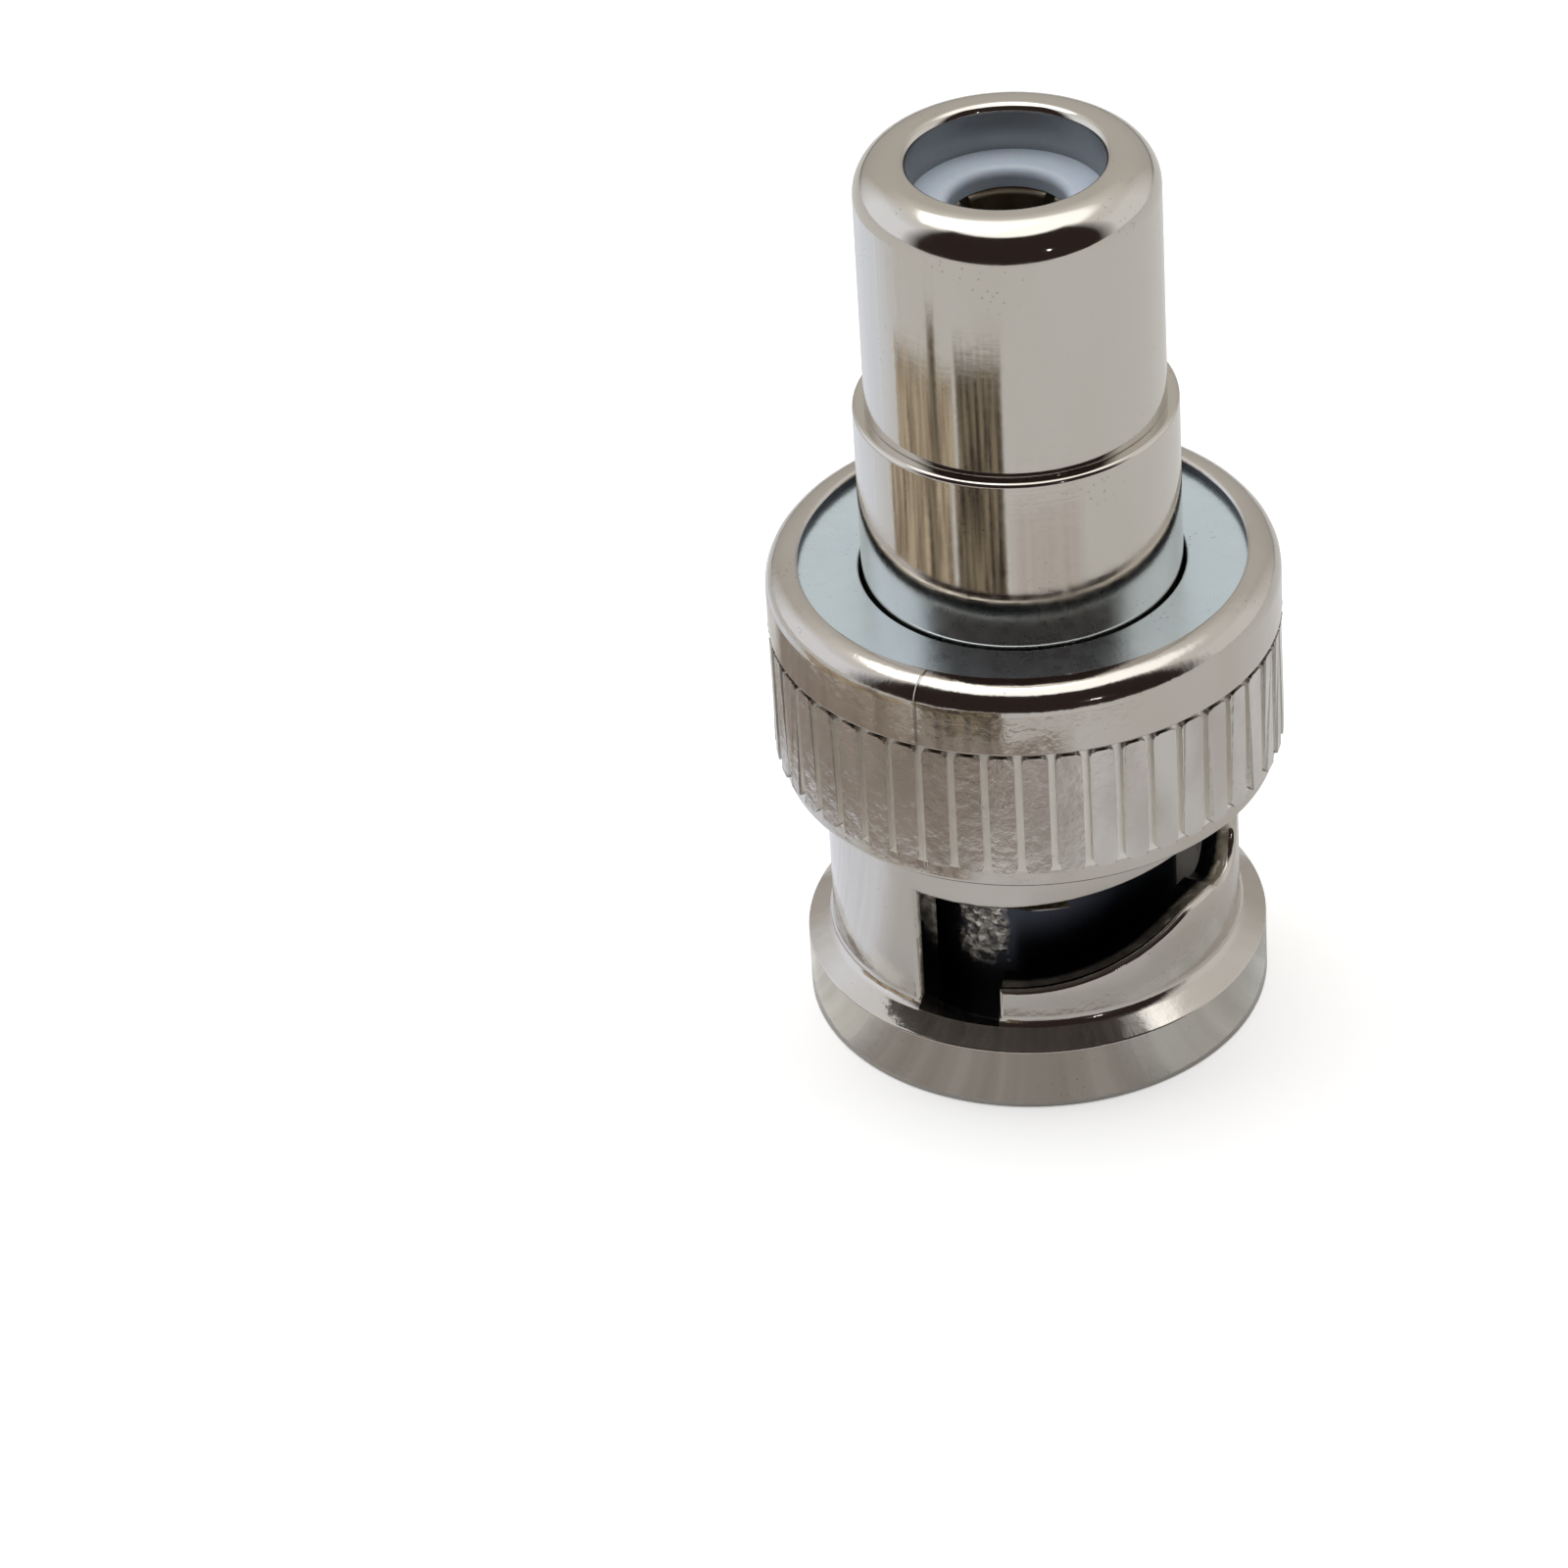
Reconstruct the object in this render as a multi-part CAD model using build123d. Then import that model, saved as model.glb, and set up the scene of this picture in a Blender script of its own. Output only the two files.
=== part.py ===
from build123d import *
from math import cos, radians, sin
import os

# Adapter from a bayonet coaxial plug to a round phono jack.
# It stands on the mouth of its coupling sleeve, with the axis on Z and the jack at the top.
# Heights are counted from the mouth and angles from the front. Lengths are in millimetres.

# Coupling sleeve: mouth, rim and neck
coupling_bore_radius = 4.9
neck_wall = 0.95
rim_overhang = 0.75
rim_height = 2.0
rim_edge_round = 0.12
flare_rise = 0.47
flare_round = 0.38
lead_in_width = 0.75
lead_in_depth = 0.9
shoulder_height = 8.05
step_ring_width = 0.45
step_ring_flat = 0.06
step_ring_height = 0.3

# Coupling sleeve: chamber, knurled ring and rolled lip
seat_height = 10.7
ring_wall = 0.48
rib_height = 0.22
rib_count = 48
first_groove_angle = -25.4
rib_width = 0.72
rib_corner = 0.18
rib_end_gap = 0.08
front_band_height = 0.62
rear_band_height = 2.0
rear_band_rise = 0.2
lip_round = 0.7
lip_thickness = 0.3
lip_width = 0.25
lip_inner_round = 0.1

# Bayonet slots, for the two studs of the mating jack
stud_radius = 1.0
detent_clearance = 0.27
crest_clearance = 0.1
entry_width = 2.4
entry_top = 6.35
entry_angle = -23.5
groove_clearance = 0.13
coupling_turn = 90.0
ramp_start_angle = -12.0
crest_angle = 47.0
ramp_floor = 3.57
crest_floor = 4.9
floor_curve = 1.9
roof_curve = 1.1
detent_drop = 0.25
ramp_sections = 12

# Travel of the sleeve against its spring, and the stack behind it
coupling_travel = 1.2
travel_reserve = 0.2
spring_room = 1.8
washer_thickness = 0.6
washer_clearance = 0.12
chamber_gap = 0.05
thrust_washer_thickness = 0.4
spring_strip = 0.3
spring_width = 1.0
spring_clearance = 0.3
spring_waves = 3
spring_end_gap = 0.02
points_per_wave = 12

# Body
flange_clearance = 0.2
flange_thickness = 0.8
hub_step = 0.52
seam_step = 0.33
barrel_length = 8.9
seam_chamfer = 0.12

# Jack shell
shell_radius = 4.15
shell_length = 7.55
shell_rim_width = 1.47
shell_rim_round = 1.0
opening_round = 0.1
shell_wall = 0.78
spigot_wall = 0.4
spigot_length = 3.4

# Outer contact of the plug and its gasket
contact_radius = 4.05
contact_wall = 0.4
contact_reach = 9.7
contact_seat = 1.5
contact_seat_step = 0.2
contact_edge_round = 0.12
gasket_thickness = 1.4
gasket_clearance = 0.12

# Insulators
fit_gap = 0.02
plug_insulator_recess = 0.06
cup_radius = 2.6
cup_depth = 5.5
cup_chamfer = 0.15
jack_insulator_recess = 1.35
insulator_web = 0.4
front_web = 0.56
web_hole_clearance = 0.02
web_chamfer = 0.25

# Centre conductor
pin_radius = 0.675
pin_tip_recess = 0.35
pin_cone_length = 1.3
pin_tip_radius = 0.06
shank_radius = 0.9
shank_length = 1.5
collar_length = 1.0
tail_radius = 1.1
stem_radius = 0.45
stem_length = 2.1
socket_radius = 1.6
socket_wall = 0.42
socket_base = 0.38
socket_slot_width = 0.35
socket_slot_length = 7.0
socket_slots = 4
socket_chamfer = 0.2

# Radii that follow from the sizes above
neck_radius = coupling_bore_radius + neck_wall
rim_radius = neck_radius + rim_overhang
mouth_radius = coupling_bore_radius + lead_in_width
groove_radius = neck_radius + groove_clearance
barrel_radius = shell_radius + seam_step
hub_radius = barrel_radius + hub_step
spring_inner_radius = hub_radius + spring_clearance
flange_radius = spring_inner_radius + spring_width
chamber_radius = flange_radius + flange_clearance
rib_floor_radius = chamber_radius + ring_wall
rib_top_radius = rib_floor_radius + rib_height
band_radius = rib_floor_radius + rear_band_rise
step_ring_radius = neck_radius + step_ring_width
neck_round = step_ring_width - step_ring_flat
cutter_reach = rib_top_radius + rib_height
lip_inner_radius = chamber_radius - lip_width
washer_radius = chamber_radius - chamber_gap
washer_hole_radius = barrel_radius + washer_clearance
detent_radius = stud_radius + detent_clearance
detent_angle = entry_angle + coupling_turn
contact_inner_radius = contact_radius - contact_wall
seat_radius = contact_radius - contact_seat_step
dielectric_bore_radius = shell_radius - shell_wall
jack_insulator_radius = dielectric_bore_radius - fit_gap
opening_radius = shell_radius - shell_rim_width
spigot_radius = dielectric_bore_radius + spigot_wall
tail_hole_radius = stem_radius + fit_gap
socket_outer_radius = socket_radius + socket_wall
web_hole_radius = socket_radius + web_hole_clearance

# Heights above the mouth, with the sleeve pushed back by its spring
crest_roof = crest_floor + 2 * stud_radius + crest_clearance
flange_front = seat_height
flange_back = flange_front + flange_thickness
thrust_top = flange_back + thrust_washer_thickness
washer_bottom = thrust_top + spring_room
washer_top = washer_bottom + washer_thickness
coupling_length = washer_top + lip_thickness
hub_top = washer_bottom - coupling_travel - travel_reserve
rib_start = shoulder_height + front_band_height
rib_end = coupling_length - rear_band_height - rib_end_gap
rib_length = rib_end - rib_start
seam_height = flange_front + barrel_length
jack_top = seam_height + shell_length
spigot_bottom = seam_height - spigot_length
contact_front = flange_front - contact_reach
contact_back = flange_front + contact_seat
gasket_front = flange_front - gasket_thickness
plug_insulator_front = contact_front + plug_insulator_recess
cup_floor = plug_insulator_front + cup_depth
jack_insulator_face = jack_top - jack_insulator_recess
web_back = jack_insulator_face - front_web
socket_top = web_back - fit_gap
socket_bottom = contact_back + insulator_web + fit_gap
socket_floor = socket_bottom + socket_base
pin_tip = plug_insulator_front + pin_tip_recess
collar_front = cup_floor + shank_length
collar_back = collar_front + collar_length


def turned(*corners):
    """Turned piece about Z; each corner is (radius, height) or (radius, height, rounding)."""
    points = [(corner[0], 0, corner[1]) for corner in corners]
    roundings = [corner[2] if len(corner) > 2 else 0 for corner in corners]
    return revolve(make_face(FilletPolyline(*points, radius=roundings, close=True)), Axis.Z)


def at_angle(angle):
    """Place at an angle from the front, with local X pointing out from the axis."""
    return Location((0, 0, 0), (0, 0, angle - 90))


def sleeve_blank():
    """The sleeve before its ribs and slots: rim, neck, ring and rolled lip, with its stepped bore."""
    return turned(
        (mouth_radius, 0),
        (rim_radius, 0, rim_edge_round),
        (rim_radius, rim_height),
        (neck_radius, rim_height + flare_rise, flare_round),
        (neck_radius, shoulder_height - step_ring_height, neck_round),
        (step_ring_radius, shoulder_height - step_ring_height),
        (step_ring_radius, shoulder_height),
        (rib_floor_radius, shoulder_height, rim_edge_round),
        (rib_floor_radius, rib_end + rib_end_gap),
        (band_radius, rib_end + rib_end_gap),
        (band_radius, coupling_length, lip_round),
        (lip_inner_radius, coupling_length, lip_inner_round),
        (lip_inner_radius, washer_top),
        (chamber_radius, washer_top),
        (chamber_radius, seat_height),
        (coupling_bore_radius, seat_height),
        (coupling_bore_radius, lead_in_depth),
    )


def rib():
    """One raised rib with cut corners, out along local X, with its foot inside the ring."""
    pad = Plane.YZ * chamfer(Rectangle(rib_width, rib_length).vertices(), rib_corner)
    outside = Cylinder(rib_top_radius, rib_length) - Cylinder(rib_floor_radius - rib_height, rib_length)
    return Pos(0, 0, rib_start + rib_length / 2) * (extrude(pad, cutter_reach) & outside)


def ribs():
    """All the ribs, evenly spaced round the ring; the parting line of the mould runs in a groove."""
    one = rib()
    pitch = 360 / rib_count
    return [at_angle(first_groove_angle + (index + 0.5) * pitch) * one for index in range(rib_count)]


def slot_edges(angle):
    """Heights of the slot's floor and roof at an angle; both climb to the crest and stay level after it."""
    share = (angle - ramp_start_angle) / (crest_angle - ramp_start_angle)
    share = min(1, max(0, share))
    floor = ramp_floor + (crest_floor - ramp_floor) * share ** floor_curve
    roof = entry_top + (crest_roof - entry_top) * share ** roof_curve
    return floor, roof


def ramp_section(angle):
    """Upright rectangle in the half plane at an angle, reaching from the contact to past the ring."""
    floor, roof = slot_edges(angle)
    middle = Pos((contact_radius + cutter_reach) / 2, 0, (floor + roof) / 2)
    return at_angle(angle) * middle * (Plane.XZ * Rectangle(cutter_reach - contact_radius, roof - floor))


def slot_cutter():
    """One bayonet slot: entry channel, climbing ramp and the detent that holds the stud."""
    channel = Pos(groove_radius / 2, 0, 0) * Box(groove_radius, entry_width, 2 * entry_top)
    channel &= Cylinder(groove_radius, 2 * entry_top)
    step = (detent_angle - entry_angle) / ramp_sections
    ramp = loft([ramp_section(entry_angle + index * step) for index in range(ramp_sections + 1)])
    stud_height = crest_floor - detent_drop + detent_radius
    detent = Pos(cutter_reach / 2, 0, stud_height) * Rot(0, 90, 0) * Cylinder(detent_radius, cutter_reach)
    return at_angle(entry_angle) * channel + ramp + at_angle(detent_angle) * detent


def coupling_sleeve():
    """Bayonet coupling sleeve, cast with its ribs, then bored and slotted."""
    cutter = slot_cutter()
    return sleeve_blank() + ribs() - cutter - Rot(0, 0, 180) * cutter


def retaining_washer():
    """Flat washer under the rolled lip, which carries the spring's push."""
    return turned(
        (washer_hole_radius, washer_bottom),
        (washer_radius, washer_bottom),
        (washer_radius, washer_top),
        (washer_hole_radius, washer_top),
    )


def thrust_washer():
    """Flat washer on the back of the body's flange, on which the spring turns."""
    return turned(
        (hub_radius + washer_clearance, flange_back),
        (flange_radius, flange_back),
        (flange_radius, thrust_top),
        (hub_radius + washer_clearance, thrust_top),
    )


def wave_edge(radius, middle, swing):
    """Closed wavy edge of the spring at a radius, swinging about a middle height."""
    count = points_per_wave * spring_waves
    turns = [radians(360 * index / count) for index in range(count)]
    points = [(radius * cos(t), radius * sin(t), middle + swing * cos(spring_waves * t)) for t in turns]
    return Spline(*points, periodic=True)


def wave_spring():
    """Wave washer between the two flat washers, at the height it has at rest."""
    bottom = thrust_top + spring_end_gap
    top = washer_bottom - spring_end_gap
    lower = (bottom + top - spring_strip) / 2
    upper = lower + spring_strip
    swing = lower - bottom
    corners = [
        wave_edge(flange_radius, lower, swing),
        wave_edge(flange_radius, upper, swing),
        wave_edge(spring_inner_radius, upper, swing),
        wave_edge(spring_inner_radius, lower, swing),
    ]
    faces = [Face.make_surface_from_curves(a, b) for a, b in zip(corners, corners[1:] + corners[:1])]
    return Solid(Shell(faces))


def body():
    """Turned body: flange and hub inside the sleeve, barrel behind it, and the stepped bore."""
    return turned(
        (seat_radius + fit_gap, flange_front),
        (flange_radius, flange_front),
        (flange_radius, flange_back),
        (hub_radius, flange_back),
        (hub_radius, hub_top),
        (barrel_radius, hub_top),
        (barrel_radius, seam_height, seam_chamfer),
        (spigot_radius + fit_gap, seam_height),
        (spigot_radius + fit_gap, spigot_bottom - fit_gap),
        (dielectric_bore_radius, spigot_bottom - fit_gap),
        (dielectric_bore_radius, contact_back),
        (seat_radius + fit_gap, contact_back),
    )


def jack_shell():
    """Jack shell with its rounded rim, and the spigot pressed into the body."""
    return turned(
        (dielectric_bore_radius, spigot_bottom),
        (spigot_radius, spigot_bottom),
        (spigot_radius, seam_height),
        (shell_radius, seam_height),
        (shell_radius, jack_top, shell_rim_round),
        (opening_radius, jack_top, opening_round),
        (opening_radius, jack_insulator_face),
        (dielectric_bore_radius, jack_insulator_face),
    )


def outer_contact():
    """Plain sleeve that makes the plug's outer contact, pressed into the body's front."""
    return turned(
        (contact_inner_radius, contact_front, contact_edge_round),
        (contact_radius, contact_front, contact_edge_round),
        (contact_radius, gasket_front),
        (seat_radius, gasket_front),
        (seat_radius, contact_back),
        (contact_inner_radius, contact_back),
    )


def gasket():
    """Soft ring round the outer contact, against which the mating jack closes."""
    outer = coupling_bore_radius - gasket_clearance
    inner = seat_radius + fit_gap
    front = gasket_front + fit_gap
    return turned(
        (inner, front, gasket_clearance),
        (outer, front, gasket_clearance),
        (outer, flange_front),
        (inner, flange_front),
    )


def plug_insulator():
    """Cup-shaped insulator round the plug's pin, bored from the back for the conductor's collar."""
    outer = contact_inner_radius - fit_gap
    return turned(
        (cup_radius + cup_chamfer, plug_insulator_front),
        (outer, plug_insulator_front, cup_chamfer),
        (outer, contact_back),
        (tail_radius + fit_gap, contact_back),
        (tail_radius + fit_gap, collar_front),
        (shank_radius + fit_gap, collar_front),
        (shank_radius + fit_gap, cup_floor),
        (cup_radius, cup_floor),
        (cup_radius, plug_insulator_front + cup_chamfer),
    )


def jack_insulator():
    """Long bush that carries the jack's socket, with a thin web at its mouth."""
    return turned(
        (tail_radius + fit_gap, contact_back),
        (jack_insulator_radius, contact_back),
        (jack_insulator_radius, jack_insulator_face),
        (web_hole_radius + web_chamfer, jack_insulator_face),
        (web_hole_radius, jack_insulator_face - web_chamfer),
        (web_hole_radius, web_back),
        (socket_outer_radius + fit_gap, web_back),
        (socket_outer_radius + fit_gap, contact_back + insulator_web),
        (tail_radius + fit_gap, contact_back + insulator_web),
    )


def centre_pin():
    """Pointed pin of the plug, with a collar behind its seat and a stem into the socket's tail."""
    return turned(
        (0, pin_tip),
        (pin_tip_radius, pin_tip),
        (pin_radius, pin_tip + pin_cone_length),
        (pin_radius, cup_floor),
        (shank_radius, cup_floor),
        (shank_radius, collar_front),
        (tail_radius, collar_front),
        (tail_radius, collar_back),
        (stem_radius, collar_back),
        (stem_radius, collar_back + stem_length),
        (0, collar_back + stem_length),
    )


def socket_contact():
    """Split socket of the jack, with a drilled tail for the pin's stem."""
    tail_front = collar_back + fit_gap
    tail_hole_floor = collar_back + stem_length + fit_gap
    tube = turned(
        (0, tail_hole_floor),
        (tail_hole_radius, tail_hole_floor),
        (tail_hole_radius, tail_front),
        (tail_radius, tail_front),
        (tail_radius, socket_bottom),
        (socket_outer_radius, socket_bottom),
        (socket_outer_radius, socket_top, socket_chamfer),
        (socket_radius, socket_top, socket_chamfer),
        (socket_radius, socket_floor),
        (0, socket_floor),
    )
    slot = Box(2 * socket_outer_radius, socket_slot_width, socket_slot_length)
    slot = Pos(socket_outer_radius, 0, socket_top - socket_slot_length / 2) * slot
    for index in range(socket_slots):
        tube -= Rot(0, 0, 45 + 360 * index / socket_slots) * slot
    return tube


pieces = {
    "coupling_sleeve": coupling_sleeve,
    "retaining_washer": retaining_washer,
    "wave_spring": wave_spring,
    "thrust_washer": thrust_washer,
    "body": body,
    "jack_shell": jack_shell,
    "outer_contact": outer_contact,
    "gasket": gasket,
    "plug_insulator": plug_insulator,
    "jack_insulator": jack_insulator,
    "centre_pin": centre_pin,
    "socket_contact": socket_contact,
}

os.makedirs("parts", exist_ok=True)
for name, make in pieces.items():
    export_step(make(), f"parts/{name}.step")
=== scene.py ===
"""Studio scene of an adapter from a bayonet coaxial plug to a phono jack.

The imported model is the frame. Every turned or cast piece is modelled anew over its
CAD node, in the same place, with fine edges and a procedural finish. Sizes are in
millimetres and become metres where a mesh is made. Angles are degrees from the front.
"""

from __future__ import annotations

import logging
import math
from collections.abc import Callable
from dataclasses import dataclass
from enum import Enum

import bpy
from mathutils import Matrix, Vector


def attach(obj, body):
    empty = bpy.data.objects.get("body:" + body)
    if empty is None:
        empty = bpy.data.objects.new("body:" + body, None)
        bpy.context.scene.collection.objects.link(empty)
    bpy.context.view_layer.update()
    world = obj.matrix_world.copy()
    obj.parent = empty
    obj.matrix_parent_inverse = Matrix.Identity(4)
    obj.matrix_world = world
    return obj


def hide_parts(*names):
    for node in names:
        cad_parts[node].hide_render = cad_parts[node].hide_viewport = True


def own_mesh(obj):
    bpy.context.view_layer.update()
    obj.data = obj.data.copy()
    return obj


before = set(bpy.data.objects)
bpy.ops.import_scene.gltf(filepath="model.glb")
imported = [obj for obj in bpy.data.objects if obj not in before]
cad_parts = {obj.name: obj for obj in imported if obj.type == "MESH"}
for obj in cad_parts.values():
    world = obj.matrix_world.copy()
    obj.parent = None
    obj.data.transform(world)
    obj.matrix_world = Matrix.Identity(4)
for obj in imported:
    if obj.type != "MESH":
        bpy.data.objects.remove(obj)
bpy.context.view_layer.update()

logging.basicConfig(level=logging.INFO, format="%(message)s")
log = logging.getLogger("adapter")

MM = 0.001  # metres
MERGE = 0.001 * MM
CLEAR = 0.02  # millimetres between pieces that fit into each other
SHARP_ANGLE = math.radians(32)

Corner = tuple[float, ...]
Point = tuple[float, float, float]
Colour = tuple[float, float, float]
Station = tuple[float, float, float]
Socket = bpy.types.NodeSocket
Sources = dict | list | tuple


class Body(Enum):
    """Bodies of the model that a piece can ride on."""

    MAIN = "main"
    COUPLING = "coupling"
    SPRING = "spring_stack"


class Slot(Enum):
    """Material slots of the record, one named by each finish."""

    CAST_NICKEL = "cast_nickel"
    ZINC = "zinc_plate"
    SPRING_STEEL = "spring_steel"
    TURNED_NICKEL = "turned_nickel"
    RED_RUBBER = "red_rubber"
    WHITE_PLASTIC = "white_plastic"
    GOLD = "gold_plate"
    BRASS = "bare_brass"


# Mesh helpers


def clear_selection() -> None:
    """Leave edit mode and deselect every object."""
    if bpy.context.mode != "OBJECT":
        bpy.ops.object.mode_set(mode="OBJECT")
    bpy.ops.object.select_all(action="DESELECT")


def pick(piece: bpy.types.Object) -> None:
    """Make one object the only selected and the active one.

    Args:
        piece: The object to pick.
    """
    clear_selection()
    piece.select_set(True)
    bpy.context.view_layer.objects.active = piece


def seed(name: str, point: Point) -> bpy.types.Object:
    """Start a piece in edit mode as one selected vertex.

    Args:
        name: Name of the new object and its mesh.
        point: Place of the vertex.

    Returns:
        The new object, in edit mode.
    """
    clear_selection()
    bpy.ops.mesh.primitive_plane_add(size=MM)
    piece = bpy.context.object
    piece.name = name
    piece.data.name = name
    bpy.ops.object.mode_set(mode="EDIT")
    bpy.ops.mesh.select_all(action="SELECT")
    bpy.ops.mesh.merge(type="CENTER")
    bpy.ops.transform.translate(value=[value * MM for value in point])
    return piece


def trace(points: list[Point]) -> None:
    """Extrude the selected vertex along a line of points that starts at its own place.

    Args:
        points: Places of the line, the first of them where the vertex is.
    """
    for start, end in zip(points, points[1:]):
        step = [(b - a) * MM for a, b in zip(start, end)]
        bpy.ops.mesh.extrude_region_move(TRANSFORM_OT_translate={"value": step})


def merge_and_orient() -> None:
    """Merge doubles of the whole mesh in edit mode and turn its faces outwards."""
    bpy.ops.mesh.select_all(action="SELECT")
    bpy.ops.mesh.remove_doubles(threshold=MERGE)
    bpy.ops.mesh.normals_make_consistent(inside=False)


def smooth(piece: bpy.types.Object, angle: float = SHARP_ANGLE) -> None:
    """Shade a piece smooth, apart from edges that turn by more than an angle in radians."""
    pick(piece)
    bpy.ops.object.shade_smooth_by_angle(angle=angle)


def rounded_outline(
    corners: list[Corner], segments: int, support: float
) -> list[tuple[float, float]]:
    """Turn corners into an outline with arcs and short support steps beside them.

    Args:
        corners: (radius, height) or (radius, height, rounding) of each corner, in order.
        segments: Steps of each arc.
        support: Length of the short step that keeps a flat wall's shading even.

    Returns:
        Points (radius, height) of the outline.
    """
    count = len(corners)
    places = [Vector(corner[:2]) for corner in corners]
    roundings = [corner[2] if len(corner) > 2 else 0.0 for corner in corners]
    reaches = []
    for index, rounding in enumerate(roundings):
        back = places[index - 1] - places[index]
        ahead = places[(index + 1) % count] - places[index]
        reaches.append(rounding / math.tan(back.angle(ahead) / 2) if rounding else 0.0)
    outline: list[tuple[float, float]] = []
    for index, rounding in enumerate(roundings):
        here = places[index]
        if not rounding:
            outline.append((here.x, here.y))
            continue
        after = (index + 1) % count
        back = places[index - 1] - here
        ahead = places[after] - here
        room_back = back.length - reaches[index] - reaches[index - 1]
        room_ahead = ahead.length - reaches[index] - reaches[after]
        first = here + back.normalized() * reaches[index]
        last = here + ahead.normalized() * reaches[index]
        half = back.angle(ahead) / 2
        inwards = (back.normalized() + ahead.normalized()).normalized()
        centre = here + inwards * rounding / math.sin(half)
        start = math.atan2(first.y - centre.y, first.x - centre.x)
        sweep = math.atan2(last.y - centre.y, last.x - centre.x) - start
        sweep = (sweep + math.pi) % math.tau - math.pi
        lead = first + back.normalized() * min(support, room_back / 3)
        outline.append((lead.x, lead.y))
        for step in range(segments + 1):
            turn = start + sweep * step / segments
            across, up = rounding * math.cos(turn), rounding * math.sin(turn)
            outline.append((centre.x + across, centre.y + up))
        trail = last + ahead.normalized() * min(support, room_ahead / 3)
        outline.append((trail.x, trail.y))
    return outline


def lathe(
    name: str,
    corners: list[Corner],
    steps: int = 180,
    segments: int = 5,
    support: float = 0.03,
    whole: bool = True,
) -> bpy.types.Object:
    """Spin an outline of rounded corners into a turned piece.

    Args:
        name: Name of the new object.
        corners: Corners of the outline, as for rounded_outline.
        steps: Steps of the spin.
        segments: Steps of each rounding.
        support: Support step beside each rounding.
        whole: Whether the outline closes on itself. It is open where its ends are on the axis.

    Returns:
        The turned object, in object mode.
    """
    outline = rounded_outline(corners, segments, support)
    points = [(radius, 0.0, height) for radius, height in outline]
    if whole:
        points.append(points[0])
    piece = seed(name, points[0])
    trace(points)
    bpy.ops.mesh.select_all(action="SELECT")
    bpy.ops.mesh.remove_doubles(threshold=MERGE)
    bpy.ops.mesh.spin(steps=steps, angle=math.tau, center=(0, 0, 0), axis=(0, 0, 1))
    merge_and_orient()
    smooth(piece)
    return piece


def modify(piece: bpy.types.Object, kind: str, **settings: object) -> None:
    """Add a modifier to a piece and apply it.

    Args:
        piece: The object to modify.
        kind: Blender's name of the modifier type.
        **settings: Properties to set on it.
    """
    pick(piece)
    modifier = piece.modifiers.new(kind, kind)
    for key, value in settings.items():
        setattr(modifier, key, value)
    bpy.ops.object.modifier_apply(modifier=modifier.name)


def cut(piece: bpy.types.Object, cutter: bpy.types.Object) -> None:
    """Subtract a closed cutter from a piece and remove the cutter."""
    modify(piece, "BOOLEAN", operation="DIFFERENCE", solver="EXACT", object=cutter)
    bpy.data.objects.remove(cutter)


def smooth_evenly(piece: bpy.types.Object) -> None:
    """Shade a piece smooth, with its normals weighted by face area."""
    smooth(piece)
    modify(piece, "WEIGHTED_NORMAL", keep_sharp=True)


def block(
    name: str, width: float, depth: tuple[float, float], height: tuple[float, float]
) -> bpy.types.Object:
    """Add a block astride the front line.

    Args:
        name: Name of the new object.
        width: Its width.
        depth: Its front and back.
        height: Its bottom and top.

    Returns:
        The block, in object mode.
    """
    clear_selection()
    spans = ((-width / 2, width / 2), depth, height)
    bpy.ops.mesh.primitive_cube_add(
        size=1,
        location=[(low + high) / 2 * MM for low, high in spans],
        scale=[(high - low) * MM for low, high in spans],
    )
    piece = bpy.context.object
    piece.name = name
    bpy.ops.object.transform_apply(location=True, rotation=True, scale=True)
    return piece


def turned_copy(piece: bpy.types.Object, angle: float) -> bpy.types.Object:
    """Copy a piece with its own mesh and turn the copy about the axis.

    Args:
        piece: The object to copy.
        angle: Turn in degrees, from the front towards the right.

    Returns:
        The copy, with its turn applied to its mesh.
    """
    pick(piece)
    bpy.ops.object.duplicate(linked=False)
    copy = bpy.context.object
    copy.rotation_euler.z = math.radians(angle)
    bpy.ops.object.transform_apply(location=False, rotation=True, scale=False)
    return copy


def join(pieces: list[bpy.types.Object]) -> bpy.types.Object:
    """Join objects into the first of them.

    Args:
        pieces: The objects; the first gives the name.

    Returns:
        The joined object.
    """
    pick(pieces[0])
    for piece in pieces[1:]:
        piece.select_set(True)
    bpy.ops.object.join()
    return bpy.context.object


def ribbon(name: str, lower: list[Point], upper: list[Point]) -> bpy.types.Object:
    """Bridge two lines of points with a strip of faces.

    Args:
        name: Name of the object.
        lower: Points of the first line.
        upper: As many points of the second line.

    Returns:
        The strip, in edit mode with all of it selected.
    """
    piece = seed(name, lower[0])
    trace(lower)
    bpy.ops.object.mode_set(mode="OBJECT")
    other = seed(name + "_other", upper[0])
    trace(upper)
    bpy.ops.object.mode_set(mode="OBJECT")
    piece = join([piece, other])
    bpy.ops.object.mode_set(mode="EDIT")
    bpy.ops.mesh.select_all(action="SELECT")
    bpy.ops.mesh.bridge_edge_loops()
    bpy.ops.mesh.select_all(action="SELECT")
    return piece


def place_on(angle: float, radius: float, height: float) -> Point:
    """Point at an angle in degrees from the front towards the right, a radius and a height."""
    turn = math.radians(angle)
    return (radius * math.sin(turn), -radius * math.cos(turn), height)


# Shader helpers


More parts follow.
